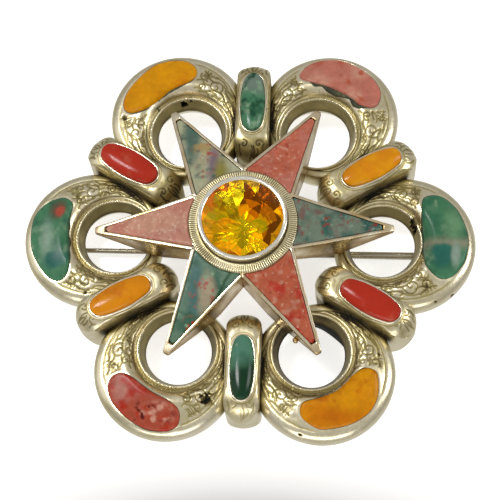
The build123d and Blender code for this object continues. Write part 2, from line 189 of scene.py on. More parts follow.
def make_piece(name, grid, material, replaces=(), wrap=False, grime_and_shade=None, darkest=1.0,
               colours=None, merge=0.0, sharp=None):
    """A piece from a grid of points in millimetres, lifted to the floor and scaled to metres.

    Each row of the grid is a ring. With wrap, the last row joins the first.
    """
    rows, columns = grid.shape[:2]
    row, column = np.meshgrid(np.arange(rows if wrap else rows - 1), np.arange(columns), indexing="ij")
    start, after = row * columns, (row + 1) % rows * columns
    beside = (column + 1) % columns
    faces = np.stack([start + column, start + beside, after + beside, after + column], -1).reshape(-1, 4)
    mesh = bpy.data.meshes.new(name)
    mesh.vertices.add(rows * columns)
    mesh.vertices.foreach_set("co", ((grid + (0, 0, LIFT)) * MM).astype(np.float32).ravel())
    mesh.loops.add(faces.size)
    mesh.loops.foreach_set("vertex_index", faces.astype(np.int32).ravel())
    mesh.polygons.add(len(faces))
    mesh.polygons.foreach_set("loop_start", np.arange(0, faces.size, 4, dtype=np.int32))
    mesh.polygons.foreach_set("loop_total", np.full(len(faces), 4, np.int32))
    mesh.update(calc_edges=True)
    if grime_and_shade is not None:
        level = np.clip(grime_and_shade + np.zeros((rows, columns)), 0, darkest)
        layer = mesh.attributes.new("grime_and_shade", "FLOAT", "POINT")
        layer.data.foreach_set("value", level.astype(np.float32).ravel())
    if colours is not None:
        layer = mesh.attributes.new("paint", "FLOAT_COLOR", "POINT")
        opaque = np.concatenate([colours, np.ones((len(colours), 1))], 1)
        layer.data.foreach_set("color", opaque.astype(np.float32).ravel())
    work = bmesh.new()
    work.from_mesh(mesh)
    if merge:
        bmesh.ops.remove_doubles(work, verts=work.verts, dist=merge * MM)
    bmesh.ops.recalc_face_normals(work, faces=work.faces)
    work.to_mesh(mesh)
    work.free()
    mesh.shade_smooth()
    if sharp:
        mesh.set_sharp_from_angle(angle=radians(sharp))
    mesh.validate()
    place_piece(name, mesh, material, replaces)


def inward(outline):
    """Unit normals of a closed outline that runs anticlockwise, pointing inward."""
    along = np.roll(outline, -1, 0) - np.roll(outline, 1, 0)
    along /= np.linalg.norm(along, axis=1)[:, None]
    return np.stack([-along[:, 1], along[:, 0]], 1)


def shell(outline, target, rows, closing):
    """Grid of a closed body lofted over an outline.

    Each row is (inset, height): inset in millimetres, and height a number or a function of x and y.
    The first and last rows close towards the target, in as many more rows as closing says.
    """
    normals = inward(outline)
    layers = []

    def add(flat, height):
        layers.append(raised(flat, height(*flat.T) if callable(height) else height))

    start = outline + normals * rows[0][0]
    for share in np.linspace(1, 1 / closing[0], closing[0]):
        add(start + (target - start) * share, rows[0][1])
    for inset, height in rows:
        add(outline + normals * inset, height)
    end = outline + normals * rows[-1][0]
    for share in np.linspace(1 / closing[1], 1, closing[1]):
        add(end + (target - end) * share, rows[-1][1])
    return np.array(layers)


def distance_to_line(points, line, reach):
    """Least distance from flat points to a polyline, capped at reach."""
    best = np.full(len(points), reach)
    near = np.nonzero(((points >= line.min(0) - reach) & (points <= line.max(0) + reach)).all(1))[0]
    spots, least = points[near], best[near]
    for a, b in zip(line, line[1:]):
        ab = b - a
        share = np.clip((spots - a) @ ab / max(ab @ ab, 1e-9), 0, 1)
        least = np.minimum(least, np.linalg.norm(spots - a - share[:, None] * ab, axis=1))
    best[near] = least
    return best


# Materials

class Nodes:
    """A material, and short ways to add nodes to it."""

    def __init__(self, name):
        self.material = bpy.data.materials.new(name)
        self.material.use_nodes = True
        self.tree = self.material.node_tree
        self.shader = self.tree.nodes["Principled BSDF"]

    def add(self, kind, settings=None, **inputs):
        node = self.tree.nodes.new(kind)
        for key, value in (settings or {}).items():
            setattr(node, key, value)
        for key, value in inputs.items():
            self.set(node, key.replace("_", " "), value)
        return node

    def set(self, node, key, value):
        """Link or set one input, by its name or number. A colour may leave out its alpha."""
        socket = node.inputs[key]
        if isinstance(value, bpy.types.NodeSocket):
            self.tree.links.new(value, socket)
        elif socket.type == "RGBA":
            socket.default_value = (*value[:3], 1)
        else:
            socket.default_value = value

    def filled(self, kind, settings, values):
        """The first output of a node that has the values in its first inputs."""
        node = self.add(kind, settings)
        for number, value in enumerate(values):
            self.set(node, number, value)
        return node.outputs[0]

    def noise(self, scale, detail=3.0, roughness=0.5, distortion=0.0, vector=None):
        return self.add("ShaderNodeTexNoise", Scale=scale, Detail=detail, Roughness=roughness,
                        Distortion=distortion, Vector=vector or self.place()).outputs["Fac"]

    def place(self):
        return self.add("ShaderNodeTexCoord").outputs["Object"]

    def mapped(self, scale, location=(0, 0, 0), rotation=(0, 0, 0)):
        return self.add("ShaderNodeMapping", Vector=self.place(), Scale=scale, Location=location,
                        Rotation=rotation).outputs[0]

    def ramp(self, value, stops, blend="LINEAR"):
        node = self.add("ShaderNodeValToRGB", Fac=value)
        node.color_ramp.interpolation = blend
        points = node.color_ramp.elements
        while len(points) < len(stops):
            points.new(0.5)
        for point, (where, colour) in zip(points, stops):
            point.position = where
            point.color = (*colour, 1) if not isinstance(colour, float) else (colour, colour, colour, 1)
        return node.outputs["Color"]

    def mix(self, share, first, second, blend="MIX"):
        node = self.add("ShaderNodeMix", {"data_type": "RGBA", "blend_type": blend})
        for number, value in ((0, share), (6, first), (7, second)):
            self.set(node, number, value)
        return node.outputs[2]

    def math(self, operation, first, second=0.0, clamp=False):
        return self.filled("ShaderNodeMath", {"operation": operation, "use_clamp": clamp}, (first, second))

    def times(self, first, second):
        return self.math("MULTIPLY", first, second)

    def plus(self, first, second, clamp=False):
        return self.math("ADD", first, second, clamp)

    def vector(self, operation, *values):
        return self.filled("ShaderNodeVectorMath", {"operation": operation}, values)

    def span(self, value, from_low, from_high, to_low, to_high):
        values = (value, from_low, from_high, to_low, to_high)
        return self.filled("ShaderNodeMapRange", {"clamp": True}, values)

    def mark(self, name, output="Fac"):
        return self.add("ShaderNodeAttribute", {"attribute_name": name}).outputs[output]

    def bump(self, height, strength, distance):
        return self.add("ShaderNodeBump", Strength=strength, Distance=distance * MM, Height=height).outputs[0]

    def out(self, **inputs):
        for key, value in inputs.items():
            self.set(self.shader, key.replace("_", " "), value)
        return self.material


# Colours of aged silver, linear: its olive film, its grime and painted shade, and the painted black shadow at
# the bottom of its holes
FILM = (0.53, 0.45, 0.205)
DARK = (0.052, 0.034, 0.010)
DEEPEST = (0.003, 0.004, 0.002)


def silver_material(name, base, rough, film=FILM, dark=DARK):
    """Aged silver: polished high places, an olive film, and brown, and black, where the mark of grime and
    painted shade says.
    """
    n = Nodes(name)
    grime_and_shade = n.mark("grime_and_shade")
    cloud = n.noise(260, 4, 0.6)
    fine = n.noise(1500, 3, 0.6)
    veil = n.plus(n.span(cloud, 0.35, 0.7, 0.0, 0.45), n.times(grime_and_shade, 2.2), clamp=True)
    colour = n.mix(veil, base, film)
    colour = n.mix(n.span(grime_and_shade, 0.15, 0.95, 0.0, 1.0), colour, dark)
    colour = n.mix(n.span(grime_and_shade, 1.0, 1.3, 0.0, 1.0), colour, DEEPEST)
    roughness = n.plus(n.span(fine, 0.3, 0.7, *rough), n.times(grime_and_shade, 0.3), clamp=True)
    scratches = n.noise(2200, 2, 0.7, vector=n.mapped((1.0, 0.15, 0.6), rotation=(0.3, 0.2, 0.7)))
    return n.out(Base_Color=colour, Roughness=roughness, Metallic=n.span(grime_and_shade, 0.5, 1.2, 1.0, 0.1),
                 Specular_IOR_Level=0.15, Normal=n.bump(scratches, 0.12, 0.02))


SILVER = silver_material("silver", (0.82, 0.755, 0.575), (0.22, 0.34))
SILVER_PLAIN = silver_material("silver_plain", (0.86, 0.80, 0.64), (0.16, 0.26))
SILVER_BRIGHT = silver_material("silver_bright", (1.0, 0.98, 0.92), (0.12, 0.22), (0.82, 0.76, 0.60))
SILVER_ARM = silver_material("silver_arm", (0.90, 0.85, 0.70), (0.16, 0.26), (0.58, 0.39, 0.15),
                             (0.085, 0.048, 0.016))
PIN_METAL = silver_material("pin_metal", (0.55, 0.51, 0.41), (0.22, 0.34), (0.36, 0.32, 0.22))


def cement_material():
    n = Nodes("cement")
    colour = n.ramp(n.noise(900, 3), [(0.3, (0.015, 0.018, 0.008)), (0.62, (0.05, 0.055, 0.022)),
                                      (0.8, (0.16, 0.15, 0.08))])
    return n.out(Base_Color=colour, Roughness=0.7, Normal=n.bump(n.noise(1800), 0.5, 0.05))


CEMENT = cement_material()


def stone_material(name, rough, mottle, shine):
    """Polished stone. Its large pattern, with a few painted highlights, is the mesh's paint, and the nodes
    add the fine grain.
    """
    n = Nodes(name)
    paint_mark = n.mark("paint", "Color")
    grain = n.noise(1400, 4, 0.65)
    cloud = n.noise(420, 4, 0.6, 0.8)
    colour = n.mix(1.0, paint_mark, n.ramp(cloud, [(0.32, 1 - mottle * 1.6), (0.7, 1.0)]), "MULTIPLY")
    colour = n.mix(1.0, colour, n.ramp(grain, [(0.38, 1 - mottle), (0.62, 1.0)]), "MULTIPLY")
    return n.out(Base_Color=colour, Roughness=n.span(grain, 0.35, 0.65, rough, rough + 0.08),
                 Specular_IOR_Level=shine, Normal=n.bump(grain, 0.06, 0.02))


# Engraving. Strokes are drawn on a band: u runs along it, v across it, both from 0 to 1. A stroke
# bends from its start towards its bend point and on to its end.
# Columns: kind, start u and v, bend u and v, end u and v, depth.
LEAVES = [
    ("stem", 0.98, 0.25, 0.78, 0.95, 0.55, 0.62, 1.0),
    ("stem", 0.55, 0.62, 0.42, 0.42, 0.30, 0.80, 0.9),
    ("leaf", 0.93, 0.78, 0.84, 0.60, 0.72, 0.86, 0.9),
    ("leaf", 0.88, 0.20, 0.80, 0.45, 0.66, 0.30, 0.9),
    ("leaf", 0.80, 0.14, 0.70, 0.34, 0.60, 0.16, 0.8),
    ("leaf", 0.70, 0.92, 0.60, 0.74, 0.52, 0.90, 0.8),
    ("leaf", 0.62, 0.22, 0.54, 0.44, 0.44, 0.26, 0.8),
    ("leaf", 0.50, 0.12, 0.44, 0.30, 0.34, 0.16, 0.8),
    ("leaf", 0.46, 0.88, 0.38, 0.66, 0.26, 0.92, 0.8),
    ("leaf", 0.30, 0.30, 0.20, 0.46, 0.10, 0.22, 0.8),
    ("leaf", 0.24, 0.60, 0.14, 0.70, 0.06, 0.50, 0.8),
    ("leaf", 0.20, 0.90, 0.12, 0.82, 0.04, 0.90, 0.7),
    ("leaf", 0.97, 0.50, 0.93, 0.42, 0.88, 0.52, 0.7),
    ("leaf", 0.74, 0.62, 0.68, 0.46, 0.58, 0.52, 0.8),
    ("leaf", 0.40, 0.14, 0.28, 0.06, 0.18, 0.20, 0.8),
    ("stem", 0.24, 0.10, 0.12, 0.30, 0.02, 0.12, 0.8),
    ("leaf", 0.56, 0.96, 0.46, 0.84, 0.40, 0.98, 0.8),
    ("leaf", 0.90, 0.96, 0.82, 0.84, 0.74, 0.98, 0.8),
    ("leaf", 0.16, 0.52, 0.08, 0.44, 0.01, 0.56, 0.8),
    ("leaf", 0.35, 0.98, 0.24, 0.84, 0.16, 0.98, 0.7),
]
# Spirals on the same band. Columns: centre u and v, radius in millimetres, turns, start in degrees, depth.
VOLUTES = [
    (0.33, 0.50, 1.15, 1.6, 40, 0.8),
    (0.66, 0.56, 0.70, 1.4, 200, 0.8),
    (0.10, 0.34, 0.75, 1.3, 120, 0.8),
    (0.17, 0.78, 0.55, 1.2, 300, 0.7),
]


def stroke_line(start, bend, end, steps=10):
    share = np.linspace(0, 1, steps)[:, None]
    start, bend, end = map(np.array, (start, bend, end))
    return (1 - share) ** 2 * start + 2 * share * (1 - share) * bend + share ** 2 * end


def engrave(band, points, seed, hatch, flip=False):
    """Depth of cut in 0..1 at flat points, for one band with its own small changes."""
    rng = np.random.default_rng(seed)
    lines, depth = [], np.zeros(len(points))

    def cut(line, strength, width=0.10):
        gap = distance_to_line(points, line, 0.5)
        np.maximum(depth, strength * bell(gap, width), out=depth)

    for kind, u0, v0, u1, v1, u2, v2, strength in LEAVES:
        jitter = rng.uniform(-0.03, 0.03, (3, 2))
        flat = np.array([(u0, v0), (u1, v1), (u2, v2)]) + jitter
        if flip:
            flat[:, 1] = 1.05 - flat[:, 1]
        line = band(stroke_line(*flat))
        cut(line, strength * rng.uniform(0.7, 1.0), 0.12 if kind == "stem" else 0.10)
        if kind == "leaf":
            # A second cut beside the first makes the leaf's other edge.
            other = flat.copy()
            other[1] += rng.uniform(-0.12, 0.12, 2)
            cut(band(stroke_line(*other)), 0.6 * strength, 0.08)
    for u, v, radius, turns, start, strength in VOLUTES:
        if flip:
            v = 1.05 - v
        middle = band(np.array([[u + rng.uniform(-0.03, 0.03), v]]))[0]
        share = np.linspace(0.12, 1, 34)
        angle = radians(start) + (-1 if flip else 1) * share * turns * 2 * pi
        cut(polar(radius * share, angle, middle), strength, 0.09)
    for u0, u1, count, v0, v1, lean in hatch:
        for u in np.linspace(u0, u1, count):
            ends = np.array([(u, v0), (u + lean, v1)]) + rng.uniform(-0.012, 0.012, (2, 2))
            cut(band(ends), rng.uniform(0.6, 1.0), 0.07)
    return depth


# Rings

def rim_arc(end_radius, end_height):
    """Radius of the arc that is upright at the widest part and ends at a face, and its angle."""
    run, rise = RING_RADIUS - end_radius, end_height - BELLY
    radius = (run ** 2 + rise ** 2) / (2 * run)
    return radius, atan2(abs(rise), radius - run)


UPPER_ARC, UPPER_TURN = rim_arc(FACE_RADIUS, SHOULDER)
LOWER_ARC, LOWER_TURN = rim_arc(FOOT_RADIUS, RING_BACK)
UPPER_LENGTH, LOWER_LENGTH = UPPER_ARC * UPPER_TURN, LOWER_ARC * LOWER_TURN
OUTER_LENGTH = FACE_RADIUS + UPPER_LENGTH + LOWER_LENGTH


def crown_height(radius, lift=0.0):
    """Height of the ring's face at a distance from its centre, over the shoulder's bend too."""
    rise = CROWN - SHOULDER
    sphere = (FACE_RADIUS ** 2 + rise ** 2) / (2 * rise)
    crown = CROWN + lift - sphere + np.sqrt(sphere ** 2 - np.minimum(radius, FACE_RADIUS) ** 2)
    bend, _ = rim_arc(FACE_RADIUS, SHOULDER + lift)
    over = np.clip(radius - (RING_RADIUS - bend), 0, bend)
    return np.where(radius > FACE_RADIUS, BELLY + np.sqrt(bend ** 2 - over ** 2), crown)


def outer_curve(length):
    """Radius and height at a length along the ring's outer section, from its centre over the rim."""
    upper = UPPER_TURN * (1 - np.clip((length - FACE_RADIUS) / UPPER_LENGTH, 0, 1))
    lower = LOWER_TURN * np.clip((length - FACE_RADIUS - UPPER_LENGTH) / LOWER_LENGTH, 0, 1)
    rim_r = RING_RADIUS - UPPER_ARC * (1 - np.cos(upper)) - LOWER_ARC * (1 - np.cos(lower))
    rim_z = BELLY + UPPER_ARC * np.sin(upper) - LOWER_ARC * np.sin(lower)
    on_rim = length > FACE_RADIUS
    return np.where(on_rim, rim_r, length), np.where(on_rim, rim_z, crown_height(length))


def wall_radius(height):
    """The hole's front wall."""
    height = np.minimum(height, LIP[1] + LIP_RISE)
    return THROAT[0] + (LIP[0] - THROAT[0]) * (height - THROAT[1]) / (LIP[1] - THROAT[1])


def rolled(level, from_middle, lift=0.0):
    """The face's height where it rolls down towards the hole's lip."""
    share = np.clip((from_middle - LIP[0] - LIP_WIDTH) / ROLL, 0, 1)
    return level - np.maximum(level - LIP[1] - lift, 0) * (1 - share) ** 2


def face_height(x, y, lift=0.0):
    return rolled(crown_height(np.hypot(x, y), lift), np.hypot(x + SHIFT, y), lift)


def from_hole(radius, angle):
    """Distance from the hole's centre of a point at that distance from the ring's centre."""
    inside = np.maximum(radius ** 2 - (SHIFT * np.sin(angle)) ** 2, 0)
    return SHIFT * np.cos(angle) + np.sqrt(inside)


BAND_END = 136             # direction in degrees where a ring's engraved bands end, by the strap
BAND_INNER = 6.05          # the bands' inner edge, from the hole's centre
BAND_OUTER = 8.15          # and their outer edge, from the ring's centre
GROOVE_RADIUS = 8.34


def ring_band(sign, number):
    """The engraved band beside the stone: u towards the strap, v from the lip to the rim."""
    start = 3 + max(sign * np.degrees(atan2(y, x)) for x, y in STONE_EDGES[PLACES[number]])

    def band(flat):
        angle = sign * radians(1) * (start + (BAND_END - start) * flat[:, 0])
        inner = -SHIFT * np.cos(angle) + np.sqrt(BAND_INNER ** 2 - (SHIFT * np.sin(angle)) ** 2)
        outer = np.maximum(BAND_OUTER, inner + 0.15)
        return polar(inner + (outer - inner) * flat[:, 1], angle)
    return band


# Ring stones' outlines: x and y about the ring's centre, outward along +X
STONE_EDGES = {
    "right": [(2.5, -1.5), (2.7, -3.2), (3.0, -3.9), (3.7, -4.8), (4.6, -5.4), (5.6, -5.4), (6.7, -4.8),
        (7.5, -3.8), (8.2, -2.6), (8.6, -0.7), (8.6, 1.0), (8.1, 2.8), (7.2, 4.7), (6.0, 6.0), (4.9, 6.7),
        (3.7, 6.8), (2.7, 6.4), (2.3, 5.6), (2.3, 4.0), (2.4, 2.2), (2.5, 0.2)],
    "upper_right": [(3.8, -1.1), (3.5, -2.9), (3.9, -4.3), (4.7, -4.9), (5.9, -4.8), (7.1, -4.2),
        (8.1, -2.9), (8.8, -1.0), (9.0, 1.0), (8.9, 2.8), (8.3, 4.4), (7.2, 5.8), (5.8, 6.8), (4.2, 7.1),
        (3.3, 7.0), (2.9, 6.3), (3.1, 4.7), (3.6, 2.6), (3.8, 0.6)],
    "upper_left": [(3.6, -0.4), (3.6, -2.0), (3.5, -3.5), (3.8, -4.7), (4.5, -5.4), (5.7, -5.6),
        (7.0, -5.0), (8.0, -3.7), (8.6, -2.1), (8.8, -0.6), (8.4, 1.1), (7.6, 3.2), (6.7, 4.8),
        (5.7, 5.8), (4.9, 6.2), (4.0, 6.2), (3.2, 5.5), (2.8, 4.1), (2.9, 2.7), (3.2, 1.2)],
    "left": [(3.5, -0.4), (3.4, -2.3), (3.1, -4.1), (3.5, -4.9), (4.5, -5.5), (5.5, -5.4), (6.7, -4.9),
        (8.0, -3.7), (8.7, -2.2), (8.8, 0.1), (8.5, 2.2), (7.8, 3.7), (6.9, 5.1), (5.5, 6.4), (4.4, 6.7),
        (3.6, 6.3), (3.1, 5.3), (3.0, 3.8), (3.2, 1.7)],
    "lower_left": [(3.9, 0.5), (3.6, -2.1), (3.8, -4.1), (4.8, -5.0), (5.8, -5.0), (6.7, -4.5),
        (7.8, -3.0), (8.5, -0.5), (8.6, 1.9), (8.3, 3.3), (7.4, 5.1), (6.2, 6.0), (5.1, 5.9), (4.2, 5.3),
        (3.8, 4.4), (3.8, 2.8)],
    "lower_right": [(3.5, -0.2), (3.2, -2.6), (2.8, -4.4), (3.2, -5.3), (4.1, -5.7), (5.2, -5.5),
        (6.8, -4.5), (7.5, -3.2), (8.1, -1.3), (8.3, 0.6), (8.0, 2.5), (7.2, 3.9), (6.0, 5.0), (4.1, 5.9),
        (3.1, 5.6), (2.5, 4.4), (2.6, 2.9), (3.1, 1.5)],
}


def closed_spline(corners, count):
    """Points at even steps along a smooth closed line through the corners."""
    corners = np.array(corners, float)
    before, after, beyond = np.roll(corners, 1, 0), np.roll(corners, -1, 0), np.roll(corners, -2, 0)
    points = []
    for t in np.linspace(0, 1, 16, endpoint=False):
        points.append(0.5 * (2 * corners + (after - before) * t
                             + (2 * before - 5 * corners + 4 * after - beyond) * t ** 2
                             + (3 * corners - before - 3 * after + beyond) * t ** 3))
    return resample(np.array(points).transpose(1, 0, 2).reshape(-1, 2), count)


def ring_stone_outline(count, number):
    """A ring stone's outline about the ring's centre, and points inside it to close on."""
    outline = closed_spline(STONE_EDGES[PLACES[number]], count)
    angle = np.arctan2(outline[:, 1], outline[:, 0] - 0.4) * 0.55
    return outline, polar(6.1, angle)


def resample(outline, count):
    """The same closed outline with points at even steps."""
    line = closed(outline)
    run = np.concatenate([[0], np.cumsum(np.linalg.norm(np.diff(line, axis=0), axis=1))])
    want = np.linspace(0, run[-1], count, endpoint=False)
    return np.stack([np.interp(want, run, line[:, k]) for k in (0, 1)], 1)


# Marks on the rings, in millimetres and degrees. Holes in the funnel: ring, height, direction from the
# hole's centre, radius. Pits outside: ring, distance from the ring's centre, height, direction, radius.
# Pits on the face: ring, distance, direction, radius.
FUNNEL_HOLES = [
    (0, 1.35, 30.0, 0.70), (0, 1.9, 35.0, 0.42), (0, 0.8, 24.0, 0.40), (2, 1.24, -18.3, 0.52),
    (2, 1.80, -29.7, 0.20), (2, 1.75, -18.5, 0.12),
]
OUTER_PITS = [
    (0, 9.70, 0.90, -48.0, 0.36), (0, 9.44, 1.67, -63.3, 0.22),
    (5, 9.17, 2.00, -47.6, 0.32), (5, 8.90, 2.15, -45.0, 0.18), (4, 9.69, 0.95, -73.7, 0.24),
]
FACE_PITS = [(2, 7.74, 63.7, 0.30), (4, 7.21, 83.4, 0.80), (3, 8.30, 86.2, 0.18), (5, 7.9, 78.0, 0.16)]

# Cuts across the bands. Columns: u from and to, how many, v from and to, lean.
RING_HATCHES = [(0.80, 1.0, 7, 0.15, 0.9, 0.05), (0.47, 0.56, 4, 0.1, 0.36, 0.04),
                (0.04, 0.14, 4, 0.66, 0.95, 0.02)]
ROUND = 420                # steps round a ring
BENT_RING = 5              # the ring whose back is bent in behind its hole
BENT_AT = 52               # and in what direction, in degrees


def ring_points(number):
    """Grid of one ring in its own frame, outward along +X, and the rows where its face starts and ends."""
    phi = np.linspace(0, 2 * pi, ROUND, endpoint=False)
    length = np.linspace(0.2, OUTER_LENGTH, 900)
    radius, height = outer_curve(length)
    # Where the outer surface leaves the lip's wire, for each direction from the hole.
    reach = from_hole(radius[:, None], phi[None, :])
    clear = reach - (wall_radius(np.minimum(height, LIP[1]))[:, None] + LIP_WIDTH)
    clear[radius[:, None] < SHIFT * np.abs(np.sin(phi))[None, :] + 1e-6] = -1
    clear[(np.cos(phi)[None, :] < 0) & (radius[:, None] < SHIFT)] = -1
    start = length[np.argmax(clear > 0, axis=0)]
    edge = np.maximum(FACE_RADIUS + 0.75 * UPPER_LENGTH, start + 0.5)
    rows = []

    def add(rho, level):
        rows.append(raised(polar(rho, phi, (-SHIFT, 0)), level))

    # Back plate's inner edge, throat and funnel. One ring's back is bent in a little behind its hole.
    back_hole = np.full(ROUND, BACK_HOLE)
    if number == BENT_RING:
        back_hole -= 0.90 * bell(wrapped(np.degrees(phi) + 60 * number - BENT_AT), 42)
    add(back_hole + 0.05, RING_BACK)
    add(back_hole - 0.04, RING_BACK + 0.08)
    for share in (0.35, 0.7):
        add(back_hole + (THROAT[0] - back_hole) * share, RING_BACK + (THROAT[1] - RING_BACK) * share)
    foot_r, foot_z = outer_curve(start)
    foot_z = rolled(foot_z, from_hole(foot_r, phi))
    top = foot_z + LIP_RISE * 0.4
    for share in np.linspace(0, 0.96, 16):
        level = THROAT[1] + (top - THROAT[1]) * share
        add(wall_radius(level), level)
    # Lip: a round wire
    for angle in np.linspace(160, 15, 8):
        across = (1 + cos(radians(angle))) / 2
        level = foot_z + LIP_RISE * sin(radians(angle)) + (top - foot_z) * (1 - across) * 0.5
        add(wall_radius(top) * (1 - across) + wall_radius(foot_z) * across + LIP_WIDTH * across, level)
    wire_rows = len(rows)
    # Face, from the lip's foot to just past the shoulder, then the rim
    for share in np.linspace(0, 1, 44):
        r, z = outer_curve(start + (edge - start) * share)
        rho = from_hole(r, phi)
        add(rho, rolled(z, rho))
    face_rows = len(rows)
    for share in np.linspace(0, 1, 19)[1:]:
        r, z = outer_curve(edge + (OUTER_LENGTH - edge) * share)
        add(from_hole(r, phi), z)
    # Back plate
    corner = from_hole(np.full(ROUND, FOOT_RADIUS), phi)
    for share in (0.03, 0.3, 0.6, 0.85):
        add(corner + (back_hole + 0.05 - corner) * share, RING_BACK)
    return np.array(rows), wire_rows, face_rows


def grid_normals(grid):
    along = np.roll(grid, -1, 1) - np.roll(grid, 1, 1)
    across = np.roll(grid, -1, 0) - np.roll(grid, 1, 0)
    normal = np.cross(across, along)
    return normal / np.maximum(np.linalg.norm(normal, axis=2), 1e-9)[..., None]


def points_within(points, outline):
    """True for flat points inside a closed outline."""
    inside = np.zeros(len(points), bool)
    x, y = points[:, 0], points[:, 1]
    for (x0, y0), (x1, y1) in zip(outline, np.roll(outline, -1, 0)):
        if y0 != y1:
            inside ^= ((y0 > y) != (y1 > y)) & (x < (x1 - x0) * (y - y0) / (y1 - y0) + x0)
    return inside


def outside_by(points, outline, reach):
    """Distance from flat points to a closed outline, capped at reach, negative inside the outline."""
    gap = distance_to_line(points, closed(outline), reach)
    return np.where(points_within(points, outline), -gap, gap)


def on_ring(points, number):
    return turned(points, 60 * number, polar(ORBIT, radians(60 * number)))


def marks_on(table, number):
    return [rest for ring, *rest in table if ring == number]


def build_ring(number):
    grid, wire_rows, face_rows = ring_points(number)
    whole = on_ring(grid, number)
    normal = grid_normals(grid)
    x, y, z = np.moveaxis(grid, -1, 0)
    radius, rho = np.hypot(x, y), np.hypot(x + SHIFT, y)
    angle, turn = np.degrees(np.arctan2(y, x)), np.degrees(np.arctan2(y, x + SHIFT))
    rows = row_numbers(grid)
    on_face = (rows >= wire_rows) & (rows < face_rows)
    face = np.nonzero(on_face.ravel())[0]
    face_points = grid[..., :2].reshape(-1, 2)[face]

    # Engraved bands, one each side of the stone
    depth = np.zeros(len(face))
    for sign in (-1, 1):
        flip = (number + (sign > 0)) % 2 == 0
        seed = 100 + 2 * number + (sign > 0)
        depth = np.maximum(depth, engrave(ring_band(sign, number), face_points, seed, RING_HATCHES, flip))
    cut = np.zeros(rows.shape)
    cut.ravel()[face] = depth
    # Distance from the stone's outline
    outline = ring_stone_outline(220, number)[0] - turned(np.array([RING_OFFSETS[number]]), -60 * number)
    signed = np.full(rows.shape, 2.5)
    signed.ravel()[face] = outside_by(face_points, outline, 2.5)
    # Groove inside the polished rim, and a line beside the lip's wire
    past_lip = rho - LIP[0] - LIP_WIDTH
    groove = 0.6 * bell(radius - GROOVE_RADIUS, 0.09) * on_face * smooth(0.1, 0.6, signed)
    lip_line = bell(past_lip - 0.42, 0.07) * on_face * smooth(8.5, 8.2, radius) * smooth(0.1, 0.5, signed)
    foot = bell(rows - wire_rows + 0.5, 1.4) * on_face
    cut_all = np.maximum.reduce([cut * smooth(0.25, 0.5, signed), groove * 0.9, lip_line * 0.85])
    lift = -0.09 * cut_all - 0.08 * foot
    # Edge raised round the stone, and the seat below it
    lift += 0.03 * bell(signed - 0.25, 0.12) * on_face
    lift -= 1.3 * smooth(-0.18, -0.55, signed) * on_face
    # Tool marks between the cuts: leaf-like lobes with creases between them
    engraved = on_face * smooth(0.2, 0.6, signed) * smooth(8.35, 8.2, radius) * smooth(0.5, 0.7, past_lip)
    tooling = layered(whole, 1.5, 11)
    lobes = 1 - 2.2 * np.abs(layered(whole + 0.35 * tooling[..., None], 1.25, 47, 2))
    lift += (0.035 * tooling + 0.022 * np.clip(lobes, -1, 1)) * engraved
    lift += 0.018 * layered(whole, 2.6, 17, 2) * (rows > 6)
    grime_and_shade = 0.12 * smooth(0.62, 0.95, lobes) * engraved
    grime_and_shade += 0.98 * cut_all + 0.7 * foot + 0.20 * np.clip(-tooling, 0, 1) * engraved
    # Painted shadow at the seams with the straps, painted shade with a brown film in the hole, and a haze
    # over the rest
    strap_shade = np.minimum.reduce([np.abs(x * cos(radians(a)) + y * sin(radians(a)) - 8.3) for a in (-120, 120)])
    grime_and_shade += (1.05 + 0.35 * layered(whole, 1.2, 19)) * bell(strap_shade, 0.55)
    inner_wall = (rows >= 4) & (rows < wire_rows - 8)
    grime_and_shade += inner_wall * ((0.68 if number == BENT_RING else 0.50) + 0.20 * layered(whole, 1.8, 23))
    # Painted shade, deepest low in the hole by the throat.
    grime_and_shade += 0.25 * inner_wall * bell(rows - 5, 2.5)
    # Painted black shadow on the bent back behind this ring's hole.
    if number == BENT_RING:
        grime_and_shade += 2.5 * (rows < 5) * bell(wrapped(turn + 60 * number - BENT_AT), 60)
    grime_and_shade += 0.10 * smooth(0.2, 0.9, layered(whole, 3.0, 29)) * on_face
    # Painted shade on the rims that face left.
    leftward = turned(normal, 60 * number)[..., 0]
    grime_and_shade += 0.13 * smooth(-0.2, -0.8, leftward) * (rows >= face_rows - 6)
    # Painted shade on the side towards the star and the straps.
    grime_and_shade += 0.18 * smooth(110, 165, np.abs(angle)) * (rows < face_rows + 6) * (rows > 4)
    # Vent holes in the funnel, shallow dents painted black for the shade inside them, and pits outside and on
    # the face, painted dark
    for level, at, size in marks_on(FUNNEL_HOLES, number):
        ragged = 1 + 0.35 * value_noise(whole, 0.35, 41)
        away = np.hypot(rho * np.radians(wrapped(turn - at)), z - level) / (size * ragged)
        hit = smooth(1.12, 0.85, away) * (rows < wire_rows) * (rows > 3)
        lift -= 0.55 * size / 0.4 * hit
        grime_and_shade += 2.0 * hit
    for far, level, at, size in marks_on(OUTER_PITS, number):
        arc = radius * np.radians(wrapped(angle - at))
        away = np.sqrt(arc ** 2 + (z - level) ** 2 + (radius - far) ** 2) / size
        hit = smooth(1.1, 0.5, away) * (rows >= face_rows - 6)
        lift -= 0.12 * hit
        grime_and_shade += 1.5 * hit
    for far, at, size in marks_on(FACE_PITS, number):
        arc = radius * np.radians(wrapped(angle - at))
        ragged = 1 + 0.7 * value_noise(whole, 0.32, 43)
        hit = smooth(1.1, 0.7, np.hypot(arc, radius - far) / (size * ragged)) * on_face
        lift -= 0.25 * hit
        grime_and_shade += 0.8 * hit
    placed = on_ring(grid + normal * lift[..., None], number) + (*RING_OFFSETS[number], 0)
    make_piece(f"ring_{PLACES[number]}", placed, SILVER, ("ring_frame",), wrap=True, grime_and_shade=grime_and_shade, darkest=1.5)


